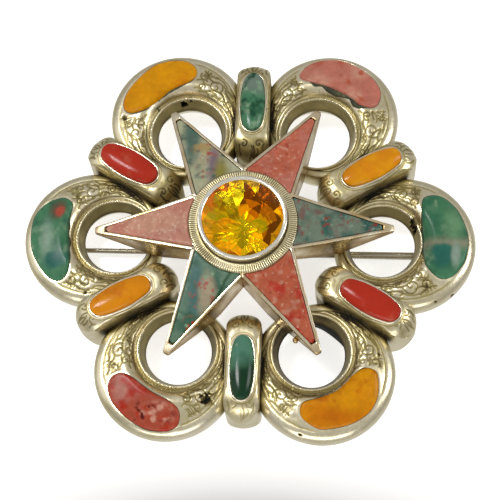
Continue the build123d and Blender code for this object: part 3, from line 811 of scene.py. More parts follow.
def cement_line(name, outline, width, number):
    """Thin dark filling round a ring stone, of uneven width."""
    normals = inward(outline)
    seed = 60 + number
    towards_hole = smooth(8.6, 6.4, np.hypot(outline[:, 0] + SHIFT, outline[:, 1]))
    patches = 0.7 + 0.9 * value_noise(raised(outline, seed * 3.0), 1.1, seed)
    uneven = np.maximum(width * (0.1 + 2.4 * towards_hole * patches), 0.02)[:, None]
    layers = []
    for share, drop in ((0.0, -0.35), (0.0, 0.035), (0.5, 0.045), (1.0, 0.0), (1.0, -0.35)):
        flat = outline + normals * 0.08 - normals * (uneven + 0.08) * share
        layers.append(raised(flat, face_height(*flat.T) + drop))
    make_piece(name, on_ring(np.array(layers), number), CEMENT, wrap=True)


# Colours of the stones, linear
ORANGE = (0.60, 0.210, 0.0)
AMBER = (0.64, 0.27, 0.0)
BURNT = (0.50, 0.14, 0.0)
PINK = (0.48, 0.160, 0.115)
PALE_PINK = (0.56, 0.27, 0.19)
CORAL = (0.42, 0.085, 0.045)
RED = (0.38, 0.020, 0.006)
GREEN = (0.055, 0.18, 0.09)
DEEP_GREEN = (0.006, 0.055, 0.025)
GREY_GREEN = (0.13, 0.18, 0.14)
PALE_GREEN = (0.19, 0.30, 0.19)


def paint(points, base, features, seed):
    """Colours at a stone's points: a base, then features over it in turn.

    A feature is ("cloud", colour, scale, level, edge) for noise above a level, ("spot", colour, x, y,
    half width, half height, softness), ("band", colour, x, y, angle, half width, softness), or
    ("fleck", colour, scale, level, edge, x, y, half width, half height) for noise inside a spot.
    """
    colours = np.tile(np.array(base, float), (len(points), 1))
    warp = np.stack([layered(points, 1.6, seed + 50 + k, 2) for k in range(3)], 1)

    def from_spot(flat, x, y, half_x, half_y):
        return np.hypot((flat[:, 0] - x) / half_x, (flat[:, 1] - y) / half_y)

    for index, (kind, colour, *rest) in enumerate(features):
        if kind in ("cloud", "fleck"):
            scale, level, edge, *spot = rest
            share = smooth(level - edge, level + edge, layered(points + 0.3 * warp, scale, seed + 7 * index))
            if spot:
                share = share * smooth(1.3, 0.6, from_spot(points, *spot))
        elif kind == "spot":
            *spot, soft = rest
            bent = points[:, :2] + 0.35 * warp[:, :2] * min(spot[2:])
            share = smooth(1 + soft, 1 - soft, from_spot(bent, *spot))
        else:
            x, y, angle, half, soft = rest
            bent = points[:, :2] + 0.3 * warp[:, :2]
            away = np.abs((bent[:, 0] - x) * -sin(radians(angle)) + (bent[:, 1] - y) * cos(radians(angle)))
            share = smooth(half + soft, half - soft, away)
        colours += (np.array(colour) - colours) * share[:, None]
    return colours


# Each stone's base colour and pattern, with a few painted highlights and a painted sheen, in picture
# directions about the stone's middle: x to the right and y up.
RING_STONES = {
    "right": (GREEN, [("cloud", (0.03, 0.13, 0.07), 1.8, 0.1, 0.5), ("cloud", PALE_GREEN, 1.2, 0.5, 0.4),
                      ("spot", (0.13, 0.27, 0.14), 1.2, 1.8, 1.2, 2.0, 0.7),
                      ("band", (0.26, 0.245, 0.17), 0.0, -1.1, 4, 0.5, 1.0),
                      ("spot", (0.02, 0.12, 0.09), -0.4, -2.9, 1.5, 1.6, 0.3),
                      ("spot", (0.20, 0.27, 0.21), 1.4, -2.6, 0.6, 1.6, 0.5)]),
    "upper_right": (PINK, [("cloud", PALE_PINK, 2.4, 0.2, 0.4), ("cloud", CORAL, 1.5, 0.45, 0.3)]),
    # The upper left stone's amber spot at its lower left is a painted highlight.
    "upper_left": (ORANGE, [("cloud", AMBER, 3.0, 0.0, 0.5), ("spot", AMBER, -3.2, -2.6, 1.4, 1.1, 0.6)]),
    "left": (GREEN, [("cloud", (0.03, 0.12, 0.07), 2.2, 0.2, 0.4), ("cloud", PALE_GREEN, 1.4, 0.5, 0.4),
                     # The pale upright spot in this stone's middle is a painted highlight.
                     ("spot", (0.20, 0.30, 0.22), -0.5, -0.2, 0.8, 2.6, 0.8),
                     ("spot", (0.12, 0.07, 0.04), 0.8, 4.1, 1.0, 1.2, 0.7),
                     ("spot", (0.40, 0.07, 0.045), 1.1, 3.8, 0.6, 0.75, 0.5),
                     ("spot", (0.015, 0.11, 0.085), 0.9, -3.3, 1.5, 1.2, 0.4)]),
    "lower_left": ((0.36, 0.065, 0.035), [
        # The pale pink spot at this stone's upper left is partly its own colour, partly a painted highlight.
        ("spot", (0.42, 0.17, 0.13), -2.6, 2.0, 1.9, 1.9, 0.6), ("cloud", RED, 1.4, 0.25, 0.4),
        ("fleck", PALE_PINK, 0.75, 0.15, 0.25, 1.9, -1.6, 2.2, 1.6),
        ("fleck", (0.10, 0.008, 0.006), 0.6, 0.35, 0.15, 0.9, -1.8, 3.2, 1.9)]),
    "lower_right": (ORANGE, [("cloud", AMBER, 3.0, 0.0, 0.5), ("spot", BURNT, -0.6, -2.6, 3.2, 1.4, 0.7),
                             ("cloud", BURNT, 1.2, 0.4, 0.3)]),
}
STRAP_STONES = {
    "right_high": (ORANGE, [("cloud", AMBER, 1.6, 0.1, 0.4)]),
    "top": (GREEN, [("spot", GREY_GREEN, 0.2, 3.0, 2.0, 2.0, 0.5), ("cloud", PALE_GREEN, 0.9, 0.35, 0.3),
                    ("cloud", DEEP_GREEN, 1.4, 0.3, 0.3)]),
    "left_high": (RED, [("cloud", CORAL, 2.0, 0.4, 0.4)]),
    "left_low": (ORANGE, [("cloud", BURNT, 1.4, 0.35, 0.4)]),
    "bottom": (GREEN, [("spot", (0.07, 0.19, 0.13), -0.3, 2.4, 2.0, 2.6, 0.6),
                       ("cloud", PALE_GREEN, 0.7, 0.6, 0.2),
                       ("spot", (0.002, 0.028, 0.009), 0.3, -2.3, 3.2, 2.9, 0.55)]),
    "right_low": (RED, [("cloud", CORAL, 2.0, 0.5, 0.4)]),
}
STAR_STONES = {
    "right": ((0.15, 0.20, 0.145), [
        ("cloud", (0.03, 0.10, 0.08), 1.3, 0.15, 0.4), ("cloud", (0.16, 0.10, 0.085), 0.9, 0.35, 0.3),
        ("cloud", (0.22, 0.045, 0.04), 0.5, 0.5, 0.12), ("cloud", (0.24, 0.30, 0.24), 0.45, 0.55, 0.15)]),
    "upper_right": ((0.46, 0.115, 0.065), [
        ("cloud", PINK, 1.8, 0.15, 0.4), ("cloud", (0.32, 0.05, 0.03), 0.8, 0.55, 0.25),
        ("fleck", PALE_PINK, 0.4, 0.4, 0.2, 0.0, 0.0, 3.0, 6.0)]),
    "upper_left": ((0.38, 0.38, 0.25), [
        ("spot", (0.07, 0.14, 0.11), -2.2, 3.0, 1.2, 4.0, 0.6),
        ("spot", (0.19, 0.14, 0.17), 0.9, -1.2, 0.8, 3.0, 0.7),
        ("spot", (0.24, 0.21, 0.05), 2.0, -2.6, 0.9, 2.2, 0.7), ("cloud", (0.09, 0.13, 0.10), 1.1, 0.45, 0.3),
        ("spot", (0.08, 0.13, 0.10), 2.6, -4.6, 2.0, 1.0, 0.5),
        ("fleck", (0.36, 0.26, 0.11), 0.8, 0.1, 0.3, -0.6, 1.4, 1.5, 2.4),
        ("fleck", (0.34, 0.09, 0.07), 0.45, 0.35, 0.15, -0.6, -0.6, 1.8, 3.4)]),
    # The left star stone's pale pink is partly its own colour, partly a painted sheen.
    "left": ((0.50, 0.245, 0.165), [("cloud", (0.46, 0.17, 0.12), 2.2, 0.2, 0.5),
                                    ("fleck", (0.60, 0.36, 0.26), 0.35, 0.35, 0.2, 0.0, 0.0, 6.0, 3.0)]),
    "lower_left": ((0.10, 0.18, 0.12), [
        ("spot", (0.05, 0.13, 0.115), -1.4, 0.5, 0.9, 5.0, 0.5), ("cloud", (0.03, 0.10, 0.06), 1.4, 0.3, 0.3),
        ("spot", (0.32, 0.27, 0.17), 0.2, 0.0, 1.0, 2.6, 0.6), ("cloud", (0.20, 0.32, 0.18), 0.8, 0.55, 0.2),
        ("fleck", (0.34, 0.045, 0.045), 0.5, 0.30, 0.12, -0.3, 0.2, 1.8, 2.2),
        ("fleck", (0.36, 0.03, 0.02), 0.45, 0.05, 0.12, -1.9, -4.2, 1.1, 1.5),
        ("band", (0.01, 0.06, 0.02), 1.35, -0.6, 62, 0.22, 0.15)]),
    "lower_right": ((0.42, 0.10, 0.05), [
        ("cloud", (0.40, 0.035, 0.02), 1.2, 0.15, 0.3), ("cloud", (0.48, 0.20, 0.13), 0.8, 0.4, 0.25),
        ("cloud", (0.20, 0.02, 0.015), 0.45, 0.55, 0.12), ("cloud", (0.62, 0.40, 0.30), 0.35, 0.62, 0.12)]),
}

STONE = stone_material("stone", 0.18, 0.12, 0.16)
STONE_CLEAR = stone_material("stone_clear", 0.13, 0.05, 0.26)


def build_stone(node, grid, design, seed, material):
    """A polished stone in the place of its node, painted by its design."""
    flat = grid.reshape(-1, 3)
    colours = paint(flat - (flat.min(0) + flat.max(0)) / 2, *design, seed)
    make_piece(f"{node}_polished", grid, material, (node,), colours=colours, merge=0.002)


def rounded_rows(top, radius, base):
    """Rows of a stone with a rounded top edge: its back, its side and the rounding."""
    rows = [(0.12, base), (0.02, base + 0.1), (0.0, lambda x, y: top(x, y) - radius)]
    for angle in (20, 40, 60, 78, 90):
        drop = radius * (1 - sin(radians(angle)))
        rows.append((radius * (1 - cos(radians(angle))), lambda x, y, drop=drop: top(x, y) - drop))
    return rows


RING_STONE_RISE = 0.30
CEMENT_WIDTHS = {"upper_left": 0.30, "upper_right": 0.26}


def build_ring_stones():
    for number, name in enumerate(PLACES):
        outline, target = ring_stone_outline(230, number)
        rows = rounded_rows(lambda x, y: face_height(x, y, RING_STONE_RISE), 0.42, 0.9)
        grid = on_ring(shell(outline, target, rows, (4, 14)), number)
        build_stone(f"ring_stone_{name}", grid, RING_STONES[name], 300 + number, STONE)
        cement_line(f"cement_ring_{name}", outline, CEMENT_WIDTHS.get(name, 0.07), number)


# Straps

def oval(count, wider):
    """The strap stone's outline about its middle: two round ends joined by two long arcs."""
    _, half_length, half_width, end = STRAP_STONE
    reach = half_length - end
    side = (reach ** 2 + half_width ** 2 - end ** 2) / (2 * (half_width - end))
    lean = atan2(reach, side - half_width)       # half angle of a long arc
    arcs = [((reach, 0), end, -pi / 2 + lean, pi / 2 - lean),
            ((0, half_width - side), side, pi / 2 - lean, pi / 2 + lean),
            ((-reach, 0), end, pi / 2 + lean, 3 * pi / 2 - lean),
            ((0, side - half_width), side, -pi / 2 - lean, -pi / 2 + lean)]
    points = [polar(radius, np.linspace(start, stop, 60, endpoint=False), middle)
              for middle, radius, start, stop in arcs]
    return resample(np.concatenate(points) * (1, wider), count)


def strap_level(x, y):
    """Height of the strap's front, and of its back, at flat points."""
    levels = []
    for face in (STRAP_TOP, STRAP_BACK):
        rise = face - STRAP_BELLY
        height = np.full(x.shape, float(face))
        for axis, way in ((STRAP_IN + STRAP_ROUND, -1), (STRAP_OUT - STRAP_ROUND, 1)):
            far = np.hypot(x - axis, y)
            past = np.where((x - axis) * way > 0, far, 0)
            share = np.clip((past - (STRAP_ROUND - STRAP_RUN)) / (STRAP_RUN + 0.06), 0, 1)
            dome = STRAP_BELLY + rise * np.sqrt(1 - share ** 2)
            height = np.where(past > 0, dome, height)
        levels.append(height)
    return levels


# Leaf cuts on a strap's end, in millimetres outward and across. Columns: start, bend and end.
STRAP_LEAVES = [
    (0.5, 0.1, 1.2, 0.5, 1.9, 0.2),
    (0.7, -0.2, 1.3, -0.6, 1.8, -0.5),
    (0.3, 1.6, 0.9, 1.9, 1.4, 1.4),
    (0.9, 0.9, 1.4, 1.2, 1.7, 0.8),
    (0.2, -1.7, 0.8, -1.4, 1.2, -1.7),
    (1.1, 0.1, 1.6, -0.1, 2.1, 0.1),
]


def shoulder_drop(share):
    """How far the strap's rounded shoulder has fallen at a share of its half width."""
    past = np.clip((STRAP_HALF * share - (STRAP_HALF - STRAP_SHOULDER)) / STRAP_SHOULDER, 0, 1)
    return STRAP_SHOULDER * (1 - np.sqrt(1 - past ** 2))


def build_strap(number, count=284):
    # Points on the slot's axis, and the steps out from them to its outline
    side = STRAP_OUT - STRAP_IN - 2 * STRAP_HALF
    arc = pi * STRAP_HALF
    run = np.linspace(0, 2 * (arc + side), count, endpoint=False)
    angle = (np.clip(run, 0, arc) + np.clip(run - arc - side, 0, arc)) / STRAP_HALF - pi / 2
    axis_x = side / 2 - np.clip(run - arc, 0, side) + np.clip(run - 2 * arc - side, 0, side)
    base = np.stack([(STRAP_OUT + STRAP_IN) / 2 + axis_x, 0 * axis_x], 1)
    way = polar(STRAP_HALF, angle)
    rows = []
    shares = np.sin(np.linspace(0, pi / 2, STRAP_FRONT_ROWS))
    for share in shares:
        flat = base + way * share
        rows.append(raised(flat, np.minimum(strap_level(*flat.T)[0], STRAP_TOP - shoulder_drop(share))))
    high, low = strap_level(*(base + way).T)
    high, low = np.minimum(high, STRAP_TOP - STRAP_SHOULDER), np.maximum(low, STRAP_BACK + STRAP_SHOULDER)
    for share in np.linspace(0, 1, 14)[1:-1]:
        rows.append(raised(base + way, high + (low - high) * share))
    for share in shares[::-4]:
        flat = base + way * share
        rows.append(raised(flat, np.maximum(strap_level(*flat.T)[1], STRAP_BACK + shoulder_drop(share))))
    rows.append(raised(base, STRAP_BACK))
    grid = np.array(rows)
    normal = grid_normals(grid)
    normal[0], normal[-1] = (0, 0, 1), (0, 0, -1)

    # Engraving on the two ends, a plain moulding line along each side
    x, y, z = np.moveaxis(grid, -1, 0)
    flat = grid[..., :2].reshape(-1, 2)
    front = row_numbers(grid) < STRAP_FRONT_ROWS
    outline = oval(160, STONE_WIDTHS[GAPS[number]])
    signed = outside_by(flat - (STRAP_STONE[0], 0), outline, 3.0).reshape(x.shape)
    cut = np.zeros(len(flat))
    rng = np.random.default_rng(500 + number)

    def engrave_line(line, strength, width):
        gap = distance_to_line(flat, line, 0.5)
        np.maximum(cut, strength * bell(gap, width), out=cut)

    for centre_x, way_x in ((STRAP_OUT - 2.35, 1), (STRAP_IN + 2.3, -1)):
        # The bottom strap's outer end is worn plainer.
        faint = 0.5 if GAPS[number] == "bottom" and way_x > 0 else 1
        for corners in STRAP_LEAVES:
            mirrored = np.reshape(corners, (3, 2)) * (1, rng.choice((-1, 1)))
            corners = (mirrored + rng.uniform(-0.12, 0.12, (3, 2))) * (way_x, 1) + (centre_x, 0)
            engrave_line(stroke_line(*corners, 8), rng.uniform(0.55, 0.9) * faint, 0.10)
        share = np.linspace(0.1, 1, 20)
        for across in (-1, 1):
            curl = across * share * 2.2 * pi + way_x * 0.5
            spiral = polar(0.6 * share, curl, (centre_x + way_x * 0.25, across * 1.05))
            engrave_line(spiral, 0.7 * faint, 0.09)
    cut = cut.reshape(x.shape) * front * smooth(0.5, 0.75, signed)
    whole = turned(grid, 60 * number + 30)
    tooling = layered(whole, 1.0, 31)
    side_line = bell(z - 3.6, 0.13) * (np.abs(x - 18.9) < 5.4) * (np.abs(y) > 2.2)
    lift = -0.05 * cut + 0.035 * tooling * smooth(0.5, 0.9, signed) * front
    lift += 0.010 * layered(whole, 2.4, 37, 2)
    lift -= 0.05 * side_line
    lift -= smooth(-0.15, -0.5, signed) * front
    grime_and_shade = 0.75 * cut + 0.5 * side_line
    grime_and_shade += 0.25 * np.clip(-tooling, 0, 1) * front * smooth(0.4, 0.8, signed)
    # Painted shade low on the strap's sides, between the rings.
    beside = (np.abs(x - 17.5) < 5.5) * smooth(STRAP_BACK + 0.2, STRAP_BACK + 0.9, z)
    grime_and_shade += 0.5 * smooth(2.2, 0.6, z) * beside
    grime_and_shade += 0.08 + 0.12 * smooth(0.0, 0.9, layered(whole, 2.2, 43))
    grime_and_shade += 0.35 * bell(signed - 0.52, 0.09) * front
    # Brown stains on the end near the star, heavier on two of the straps
    stain = 0.42 if number in (1, 2) else 0.12
    grime_and_shade += stain * (1 + 0.7 * layered(whole, 1.1, 53)) * smooth(14.4, 13.2, x)
    grid = grid + normal * lift[..., None]
    grid[..., 2] = np.maximum(grid[..., 2], STRAP_BACK + 0.004)
    make_piece(f"strap_{GAPS[number]}", turned(grid, 60 * number + 30), SILVER, ("ring_frame",), grime_and_shade=grime_and_shade,
               merge=0.004)


def on_strap(points, number):
    return turned(points + (STRAP_STONE[0], 0, 0), 60 * number + 30)


# Thin silver rim bent over a strap stone's edge. Columns: inset, height, grime.
STRAP_RIM = [(-0.36, 3.6, 0.5), (-0.34, 4.9, 0.5), (-0.28, 5.2, 0), (-0.18, 5.32, 0), (-0.06, 5.33, 0),
             (0.03, 5.26, 0), (0.05, 5.1, 0.95), (-0.02, 4.4, 0.95)]


def build_strap_stones():
    _, half_length, half_width, _ = STRAP_STONE
    edge, top = STRAP_TOP + 0.12, STRAP_TOP + 1.13
    for number, name in enumerate(GAPS):
        half = half_width * STONE_WIDTHS[name]

        def dome(x, y):
            share = np.clip((x / (half_length + 0.1)) ** 2 * 0.75 + (y / (half + 0.04)) ** 2, 0, 1)
            return edge + (top - edge) * np.sqrt(np.clip(1 - share ** 1.25, 0, 1))

        outline = oval(150, STONE_WIDTHS[name])
        rows = [(0.12, STRAP_TOP - 1.1), (0.04, STRAP_TOP - 1.0), (0.02, edge - 0.05)]
        rows += [(inset, dome) for inset in (0.04, 0.10, 0.18, 0.28, 0.40, 0.55)]
        grid = on_strap(shell(outline, outline * (0.62, 0.0), rows, (4, 12)), number)
        build_stone(f"strap_stone_{name}", grid, STRAP_STONES[name], 400 + number, STONE_CLEAR)
        ragged = 1 + 0.12 * value_noise(raised(outline, number * 5.0), 1.2, 71)
        layers = [raised(outline + inward(outline) * (inset * ragged)[:, None], level)
                  for inset, level, _ in STRAP_RIM]
        make_piece(f"rim_{name}", on_strap(np.array(layers), number), SILVER_PLAIN, wrap=True,
                   grime_and_shade=np.array([[grime_and_shade] for _, _, grime_and_shade in STRAP_RIM]))


# Star

def arm_share(x):
    return (x - NOTCH_ALONG) / (STAR_TIP - NOTCH_ALONG)


def arm_top(x):
    return np.minimum(PLATE + (TIP_TOP - PLATE) * arm_share(x), PLATE)


def arm_under(x):
    places = [NOTCH_ALONG - 0.3, 11.2, 13.3, STAR_TIP]
    return np.interp(x, places, [HUB_UNDER, ARM_REST, ARM_REST, TIP_TOP - TIP_WALL])


def polygon(corners, steps):
    """Points along a closed polygon, with a number of steps on each side."""
    corners = np.array(corners)
    sides = zip(corners, np.roll(corners, -1, 0), steps)
    return np.concatenate([a + (b - a) * np.linspace(0, 1, count, endpoint=False)[:, None]
                           for a, b, count in sides])


def arm_half(x, rim=0.0):
    fall = NOTCH_ACROSS - STAR_TIP_HALF
    slant = hypot(STAR_TIP - NOTCH_ALONG, fall) / (STAR_TIP - NOTCH_ALONG)
    return NOTCH_ACROSS - fall * arm_share(x) - rim * slant


def on_star(points):
    return turned(points, STAR_TURN, (STAR_SHIFT, 0))


def on_arm(points, number):
    return on_star(turned(points, 60 * number))


def spine(flat, low, high):
    """Points of the arm's middle line, beside the points of an outline."""
    return np.stack([np.clip(flat[:, 0], low, high), 0 * flat[:, 0]], 1)


ARM_STEPS = [6, 90, 2, 4, 2, 90, 6, 24]   # steps along the sides of an arm's outline
ARM_BASE = 6.0                            # where an arm starts, from the star's centre
ARM_LANE = 0.47                           # from an arm's outline to its seat
SEAT_DEPTH = 1.35


def arm_outline(back, back_half, low, low_half, tip, tip_half, nose):
    """An arm's outline, from its back corners over its widest place to a tip with its corners cut off."""
    side = [(back, back_half), (low, low_half), (tip - nose, tip_half), (tip, tip_half - nose)]
    return polygon([(x, -y) for x, y in side] + side[::-1], ARM_STEPS)


def arm_lane(inset, base_half, nose):
    """An arm's outline moved inward by inset, with its corners kept."""
    base_in = STONE_IN - 0.12
    corner = base_in * 0.92
    share = inset / ARM_LANE
    tip = STAR_TIP + (STONE_TIP + 0.12 - STAR_TIP) * share
    low = NOTCH_ALONG + (corner - NOTCH_ALONG) * share
    back = ARM_BASE + (corner - 0.02 - ARM_BASE) * share
    back_half = base_half + (arm_half(corner, inset) - base_half) * share
    points = arm_outline(back, back_half, low, arm_half(low, inset), tip, arm_half(tip, inset),
                         nose * (1 - share) + 0.03)
    # The seat's base is an arc about the star's centre.
    base = points[-ARM_STEPS[-1]:]
    reach = base_in * share + hypot(back, back_half) * (1 - share)
    base[:, 0] += (np.sqrt(np.maximum(reach ** 2 - base[:, 1] ** 2, 0)) - base[:, 0]) * share
    return points


def build_arm(number):
    """One arm: its walls, its rim and the seat that its stone fills."""
    base_half, nose = ARM_BASE * tan(pi / 6), 0.16
    outline = arm_outline(ARM_BASE, base_half, NOTCH_ALONG, NOTCH_ACROSS, STAR_TIP, STAR_TIP_HALF, nose)
    rows = []
    middle = spine(outline, 8, 18)
    for share in (0.0, 0.5, 1.0):
        flat = middle + (outline - middle) * share
        rows.append(raised(flat, arm_under(flat[:, 0])))
    for share in (0.08, 0.3, 0.55, 0.8, 0.93):
        along = outline[:, 0]
        rows.append(raised(outline, arm_under(along) * (1 - share) + (arm_top(along) - 0.02) * share))

    def add(flat, rise):
        rows.append(raised(flat, arm_top(flat[:, 0]) + rise))

    for inset, rise in ((0.05, 0.03), (0.14, 0.05), (0.25, 0.055), (0.36, 0.05), (0.43, 0.03),
                        (ARM_LANE, -0.06), (ARM_LANE + 0.02, -0.7), (ARM_LANE + 0.03, -SEAT_DEPTH)):
        add(arm_lane(inset, base_half, nose), rise)
    floor = rows[-1][:, :2]
    middle = spine(floor, 8.5, 17)
    for share in (0.5, 1.0):
        add(floor + (middle - floor) * share, -SEAT_DEPTH)
    grid = np.array(rows)
    whole = on_arm(grid, number)
    row = row_numbers(grid)
    grime_and_shade = 0.12 + 0.15 * layered(whole, 1.8, 87) + 0.9 * (row >= 13)
    grime_and_shade += 0.25 * smooth(0.6, 0.0, (grid[..., 2] - arm_under(grid[..., 0])) / 3.0) * (row < 8)
    grime_and_shade += (0.13 + 0.16 * layered(whole, 1.3, 89)) * (row < 8)
    grid[..., 2] += 0.03 * layered(whole, 1.6, 81, 2) * (row > 7) * (row < 14)
    grid[..., 1] += np.sign(grid[..., 1]) * 0.05 * value_noise(whole, 2.8, 83) * (row > 4) * (row < 15)
    make_piece(f"arm_{PLACES[number]}", on_arm(grid, number), SILVER_ARM, ("star_setting",), grime_and_shade=grime_and_shade,
               merge=0.003, sharp=50)


def kite(inset, soft):
    """A star stone's outline moved inward by inset, with its corners cut back by soft."""
    rim = ARM_RIM + inset
    near, far = STONE_IN + inset, STONE_TIP - inset
    corner = near
    for _ in range(12):
        half = arm_half(corner, rim)
        corner = sqrt(near ** 2 - half ** 2)
    tip_half = arm_half(far, rim)
    nose = min(soft, 0.8 * tip_half)
    slope = (half - tip_half) / (far - corner)
    corners = [(corner + soft, -half + soft * slope), (far - nose, -tip_half - nose * slope),
               (far, nose - tip_half), (far, tip_half - nose), (far - nose, tip_half + nose * slope),
               (corner + soft, half - soft * slope), (corner, half - soft), (corner, soft - half)]
    points = polygon(corners, [80, 5, 4, 5, 80, 6, 30, 6])
    base = slice(len(points) - 36, len(points) - 6)
    gap = sqrt(near ** 2 - (half - soft) ** 2) - corner
    points[base, 0] = np.sqrt(near ** 2 - points[base, 1] ** 2) - gap
    return points


# Rows of a star stone's side and rounded edge: inset, and height above its face
STAR_EDGE = [(0.0, -0.2), (0.02, -0.13), (0.06, -0.07), (0.13, -0.025), (0.24, 0.0)]


def build_star_stones():
    for number, name in enumerate(PLACES):
        rows = []

        def add(flat, rise):
            rows.append(raised(flat, arm_top(flat[:, 0]) + rise))

        proud = STAR_PROUD[name]
        back, top = kite(0.06, 0.22), kite(0.24, 0.22)
        target = spine(top, 9.4, 16.4)
        for share in (1.0, 0.5):
            add(back + (target - back) * share, -1.25)
        for inset, rise in [(0.06, -1.25), (0.0, -1.2)]:
            add(kite(inset, 0.22), rise)
        for inset, rise in STAR_EDGE:
            add(kite(inset, 0.22), proud + rise)
        for share in np.linspace(1 / 14, 1, 14):
            add(top + (target - top) * share, proud)
        grid = on_arm(np.array(rows), number)
        build_stone(f"star_stone_{name}", grid, STAR_STONES[name], 600 + number, STONE)


def revolved(profile, steps):
    """Grid of a closed section turned about the upright axis. The profile is (radius, height) rows."""
    turn = np.linspace(0, 2 * pi, steps, endpoint=False)
    return np.array([raised(polar(r, turn), z) for r, z in profile]), turn


def star_ring(name, grid, material, grime_and_shade, sharp=None):
    make_piece(name, on_star(grid), material, ("star_setting",), wrap=True, grime_and_shade=grime_and_shade, sharp=sharp)


MILLED_PROFILE = [(5.7, 8.3), (7.22, 8.3), (7.28, 8.5), (7.30, 8.66), (7.26, 8.76), (7.18, 8.81),
                  *((r, 8.82) for r in np.linspace(7.08, 6.12, 10)), (6.02, 8.80), (5.7, 8.78)]
MILLED_TEETH = 145


def build_milled():
    grid, turn = revolved(MILLED_PROFILE, 8 * MILLED_TEETH)
    radius = np.hypot(grid[..., 0], grid[..., 1])
    teeth = 0.5 - 0.5 * np.cos(turn * MILLED_TEETH)
    deep = smooth(6.2, 6.5, radius) * smooth(8.45, 8.7, grid[..., 2]) * (teeth ** 3)[None, :]
    whole = on_star(grid)
    deep = deep * (0.75 + 0.4 * value_noise(whole, 1.6, 91))
    grid[..., 2] -= 0.09 * deep - 0.01 * layered(whole, 1.2, 93, 2) * (grid[..., 2] > 8.7)
    grime_and_shade = 0.85 * deep + 0.9 * bell(radius - 6.0, 0.12) + 0.09 + 0.1 * layered(whole, 1.5, 95)
    star_ring("milled_ring", grid, SILVER, grime_and_shade)


BEZEL_PROFILE = [(5.62, 8.4), (5.95, 8.4), (5.97, 8.75), (5.93, 9.2), (5.96, 9.7), (5.99, 9.98),
                 (5.97, 10.10), (5.90, 10.17), (5.80, 10.19), (5.66, 10.18), (5.52, 10.14), (5.42, 10.10),
                 (5.385, 10.05), (5.42, 9.97), (5.60, 9.93), (5.66, 9.6)]


def build_bezel():
    grid, _ = revolved(BEZEL_PROFILE, 400)
    grid[..., 2] += 0.012 * layered(grid, 1.0, 97, 2) * (grid[..., 2] > 9.8)
    grid[..., :2] *= (1 + 0.004 * value_noise(grid, 1.6, 99))[..., None]
    grime_and_shade = 0.35 * smooth(9.5, 8.9, grid[..., 2]) + 0.6 * smooth(9.05, 8.8, grid[..., 2]) + 0.03
    star_ring("bezel", grid, SILVER_BRIGHT, grime_and_shade)


def build_nub():
    """A bead of solder left on one arm's wall."""
    turn, fall = np.linspace(0, 2 * pi, 26, endpoint=False), np.linspace(0.02, pi - 0.02, 14)[:, None]
    grid = np.stack([np.sin(fall) * np.cos(turn), np.sin(fall) * np.sin(turn), np.cos(fall) + 0 * turn], -1)
    grid = grid * (0.42, 0.36, 0.40) * (1 + 0.12 * value_noise(grid, 0.9, 105))[..., None]
    along = 16.6
    grid = grid + (along, -arm_half(along) - 0.2, arm_under(along) + 0.12)
    make_piece("solder_bead", on_arm(grid, 5), SILVER_ARM, ("star_setting",), grime_and_shade=0.35)


HUB_PROFILE = [(2.8, 4.7), (5.4, 4.7), (6.9, 4.95), (7.1, 5.4), (7.15, 8.2), (7.0, 8.45), (5.75, 8.5),
               (5.7, 9.4), (5.6, 9.5), (2.85, 7.0), (2.8, 6.8)]


def build_hub():
    """Body of the hub under the milled ring, open behind the centre stone."""
    star_ring("hub", revolved(HUB_PROFILE, 96)[0], SILVER_PLAIN, 0.25, sharp=40)


# Hinge ears and catch, on the back

PIN_HEIGHT = 1.2 - LIFT
FOOT_TOP = RING_BACK + 0.25                # the fittings reach a little into the rings' backs
HINGE_AT = 26.6
EAR_RADIUS, EAR_FOOT, EAR_THICK, EAR_HOLE = 0.8, 1.1, 0.6, 0.35
EAR_ACROSS = (1.1 + EAR_THICK) / 2 + 0.1   # half the pin's eye, half the ear and the gap between
EAR_SOFT = 0.07                            # width of the ears' bevel
CATCH_ENDS = (-27.4, -25.8)
CATCH_SLOT, CATCH_WALL, CATCH_DEPTH = 0.36 + 0.15, 0.5, 0.45


def build_ears():
    """The hinge's two upright plates, each with a round hole. Their outline is in (x, height)."""
    eye, left, right = (HINGE_AT, PIN_HEIGHT), HINGE_AT - EAR_FOOT, HINGE_AT + EAR_FOOT
    outline = [*polar(EAR_RADIUS, np.linspace(-pi, 0, 24), eye), (right, RING_BACK), (right, FOOT_TOP),
               (left, FOOT_TOP), (left, RING_BACK)]
    outline = resample(np.array(outline), 64)
    hole = polar(EAR_HOLE, np.arctan2(outline[:, 1] - PIN_HEIGHT, outline[:, 0] - HINGE_AT), eye)
    soft, half = outline + inward(outline) * EAR_SOFT, EAR_THICK / 2
    for side, name in ((-1, "near"), (1, "far")):
        layers = [raised(hole, -half), raised(soft, -half), raised(outline, -half + EAR_SOFT),
                  raised(outline, half - EAR_SOFT), raised(soft, half), raised(hole, half)]
        grid = np.array(layers)[..., [0, 2, 1]] + (0, side * EAR_ACROSS, 0)
        make_piece(f"ear_{name}", grid, SILVER_PLAIN, ("ring_frame",), wrap=True, grime_and_shade=0.3, merge=0.001,
                   sharp=40)


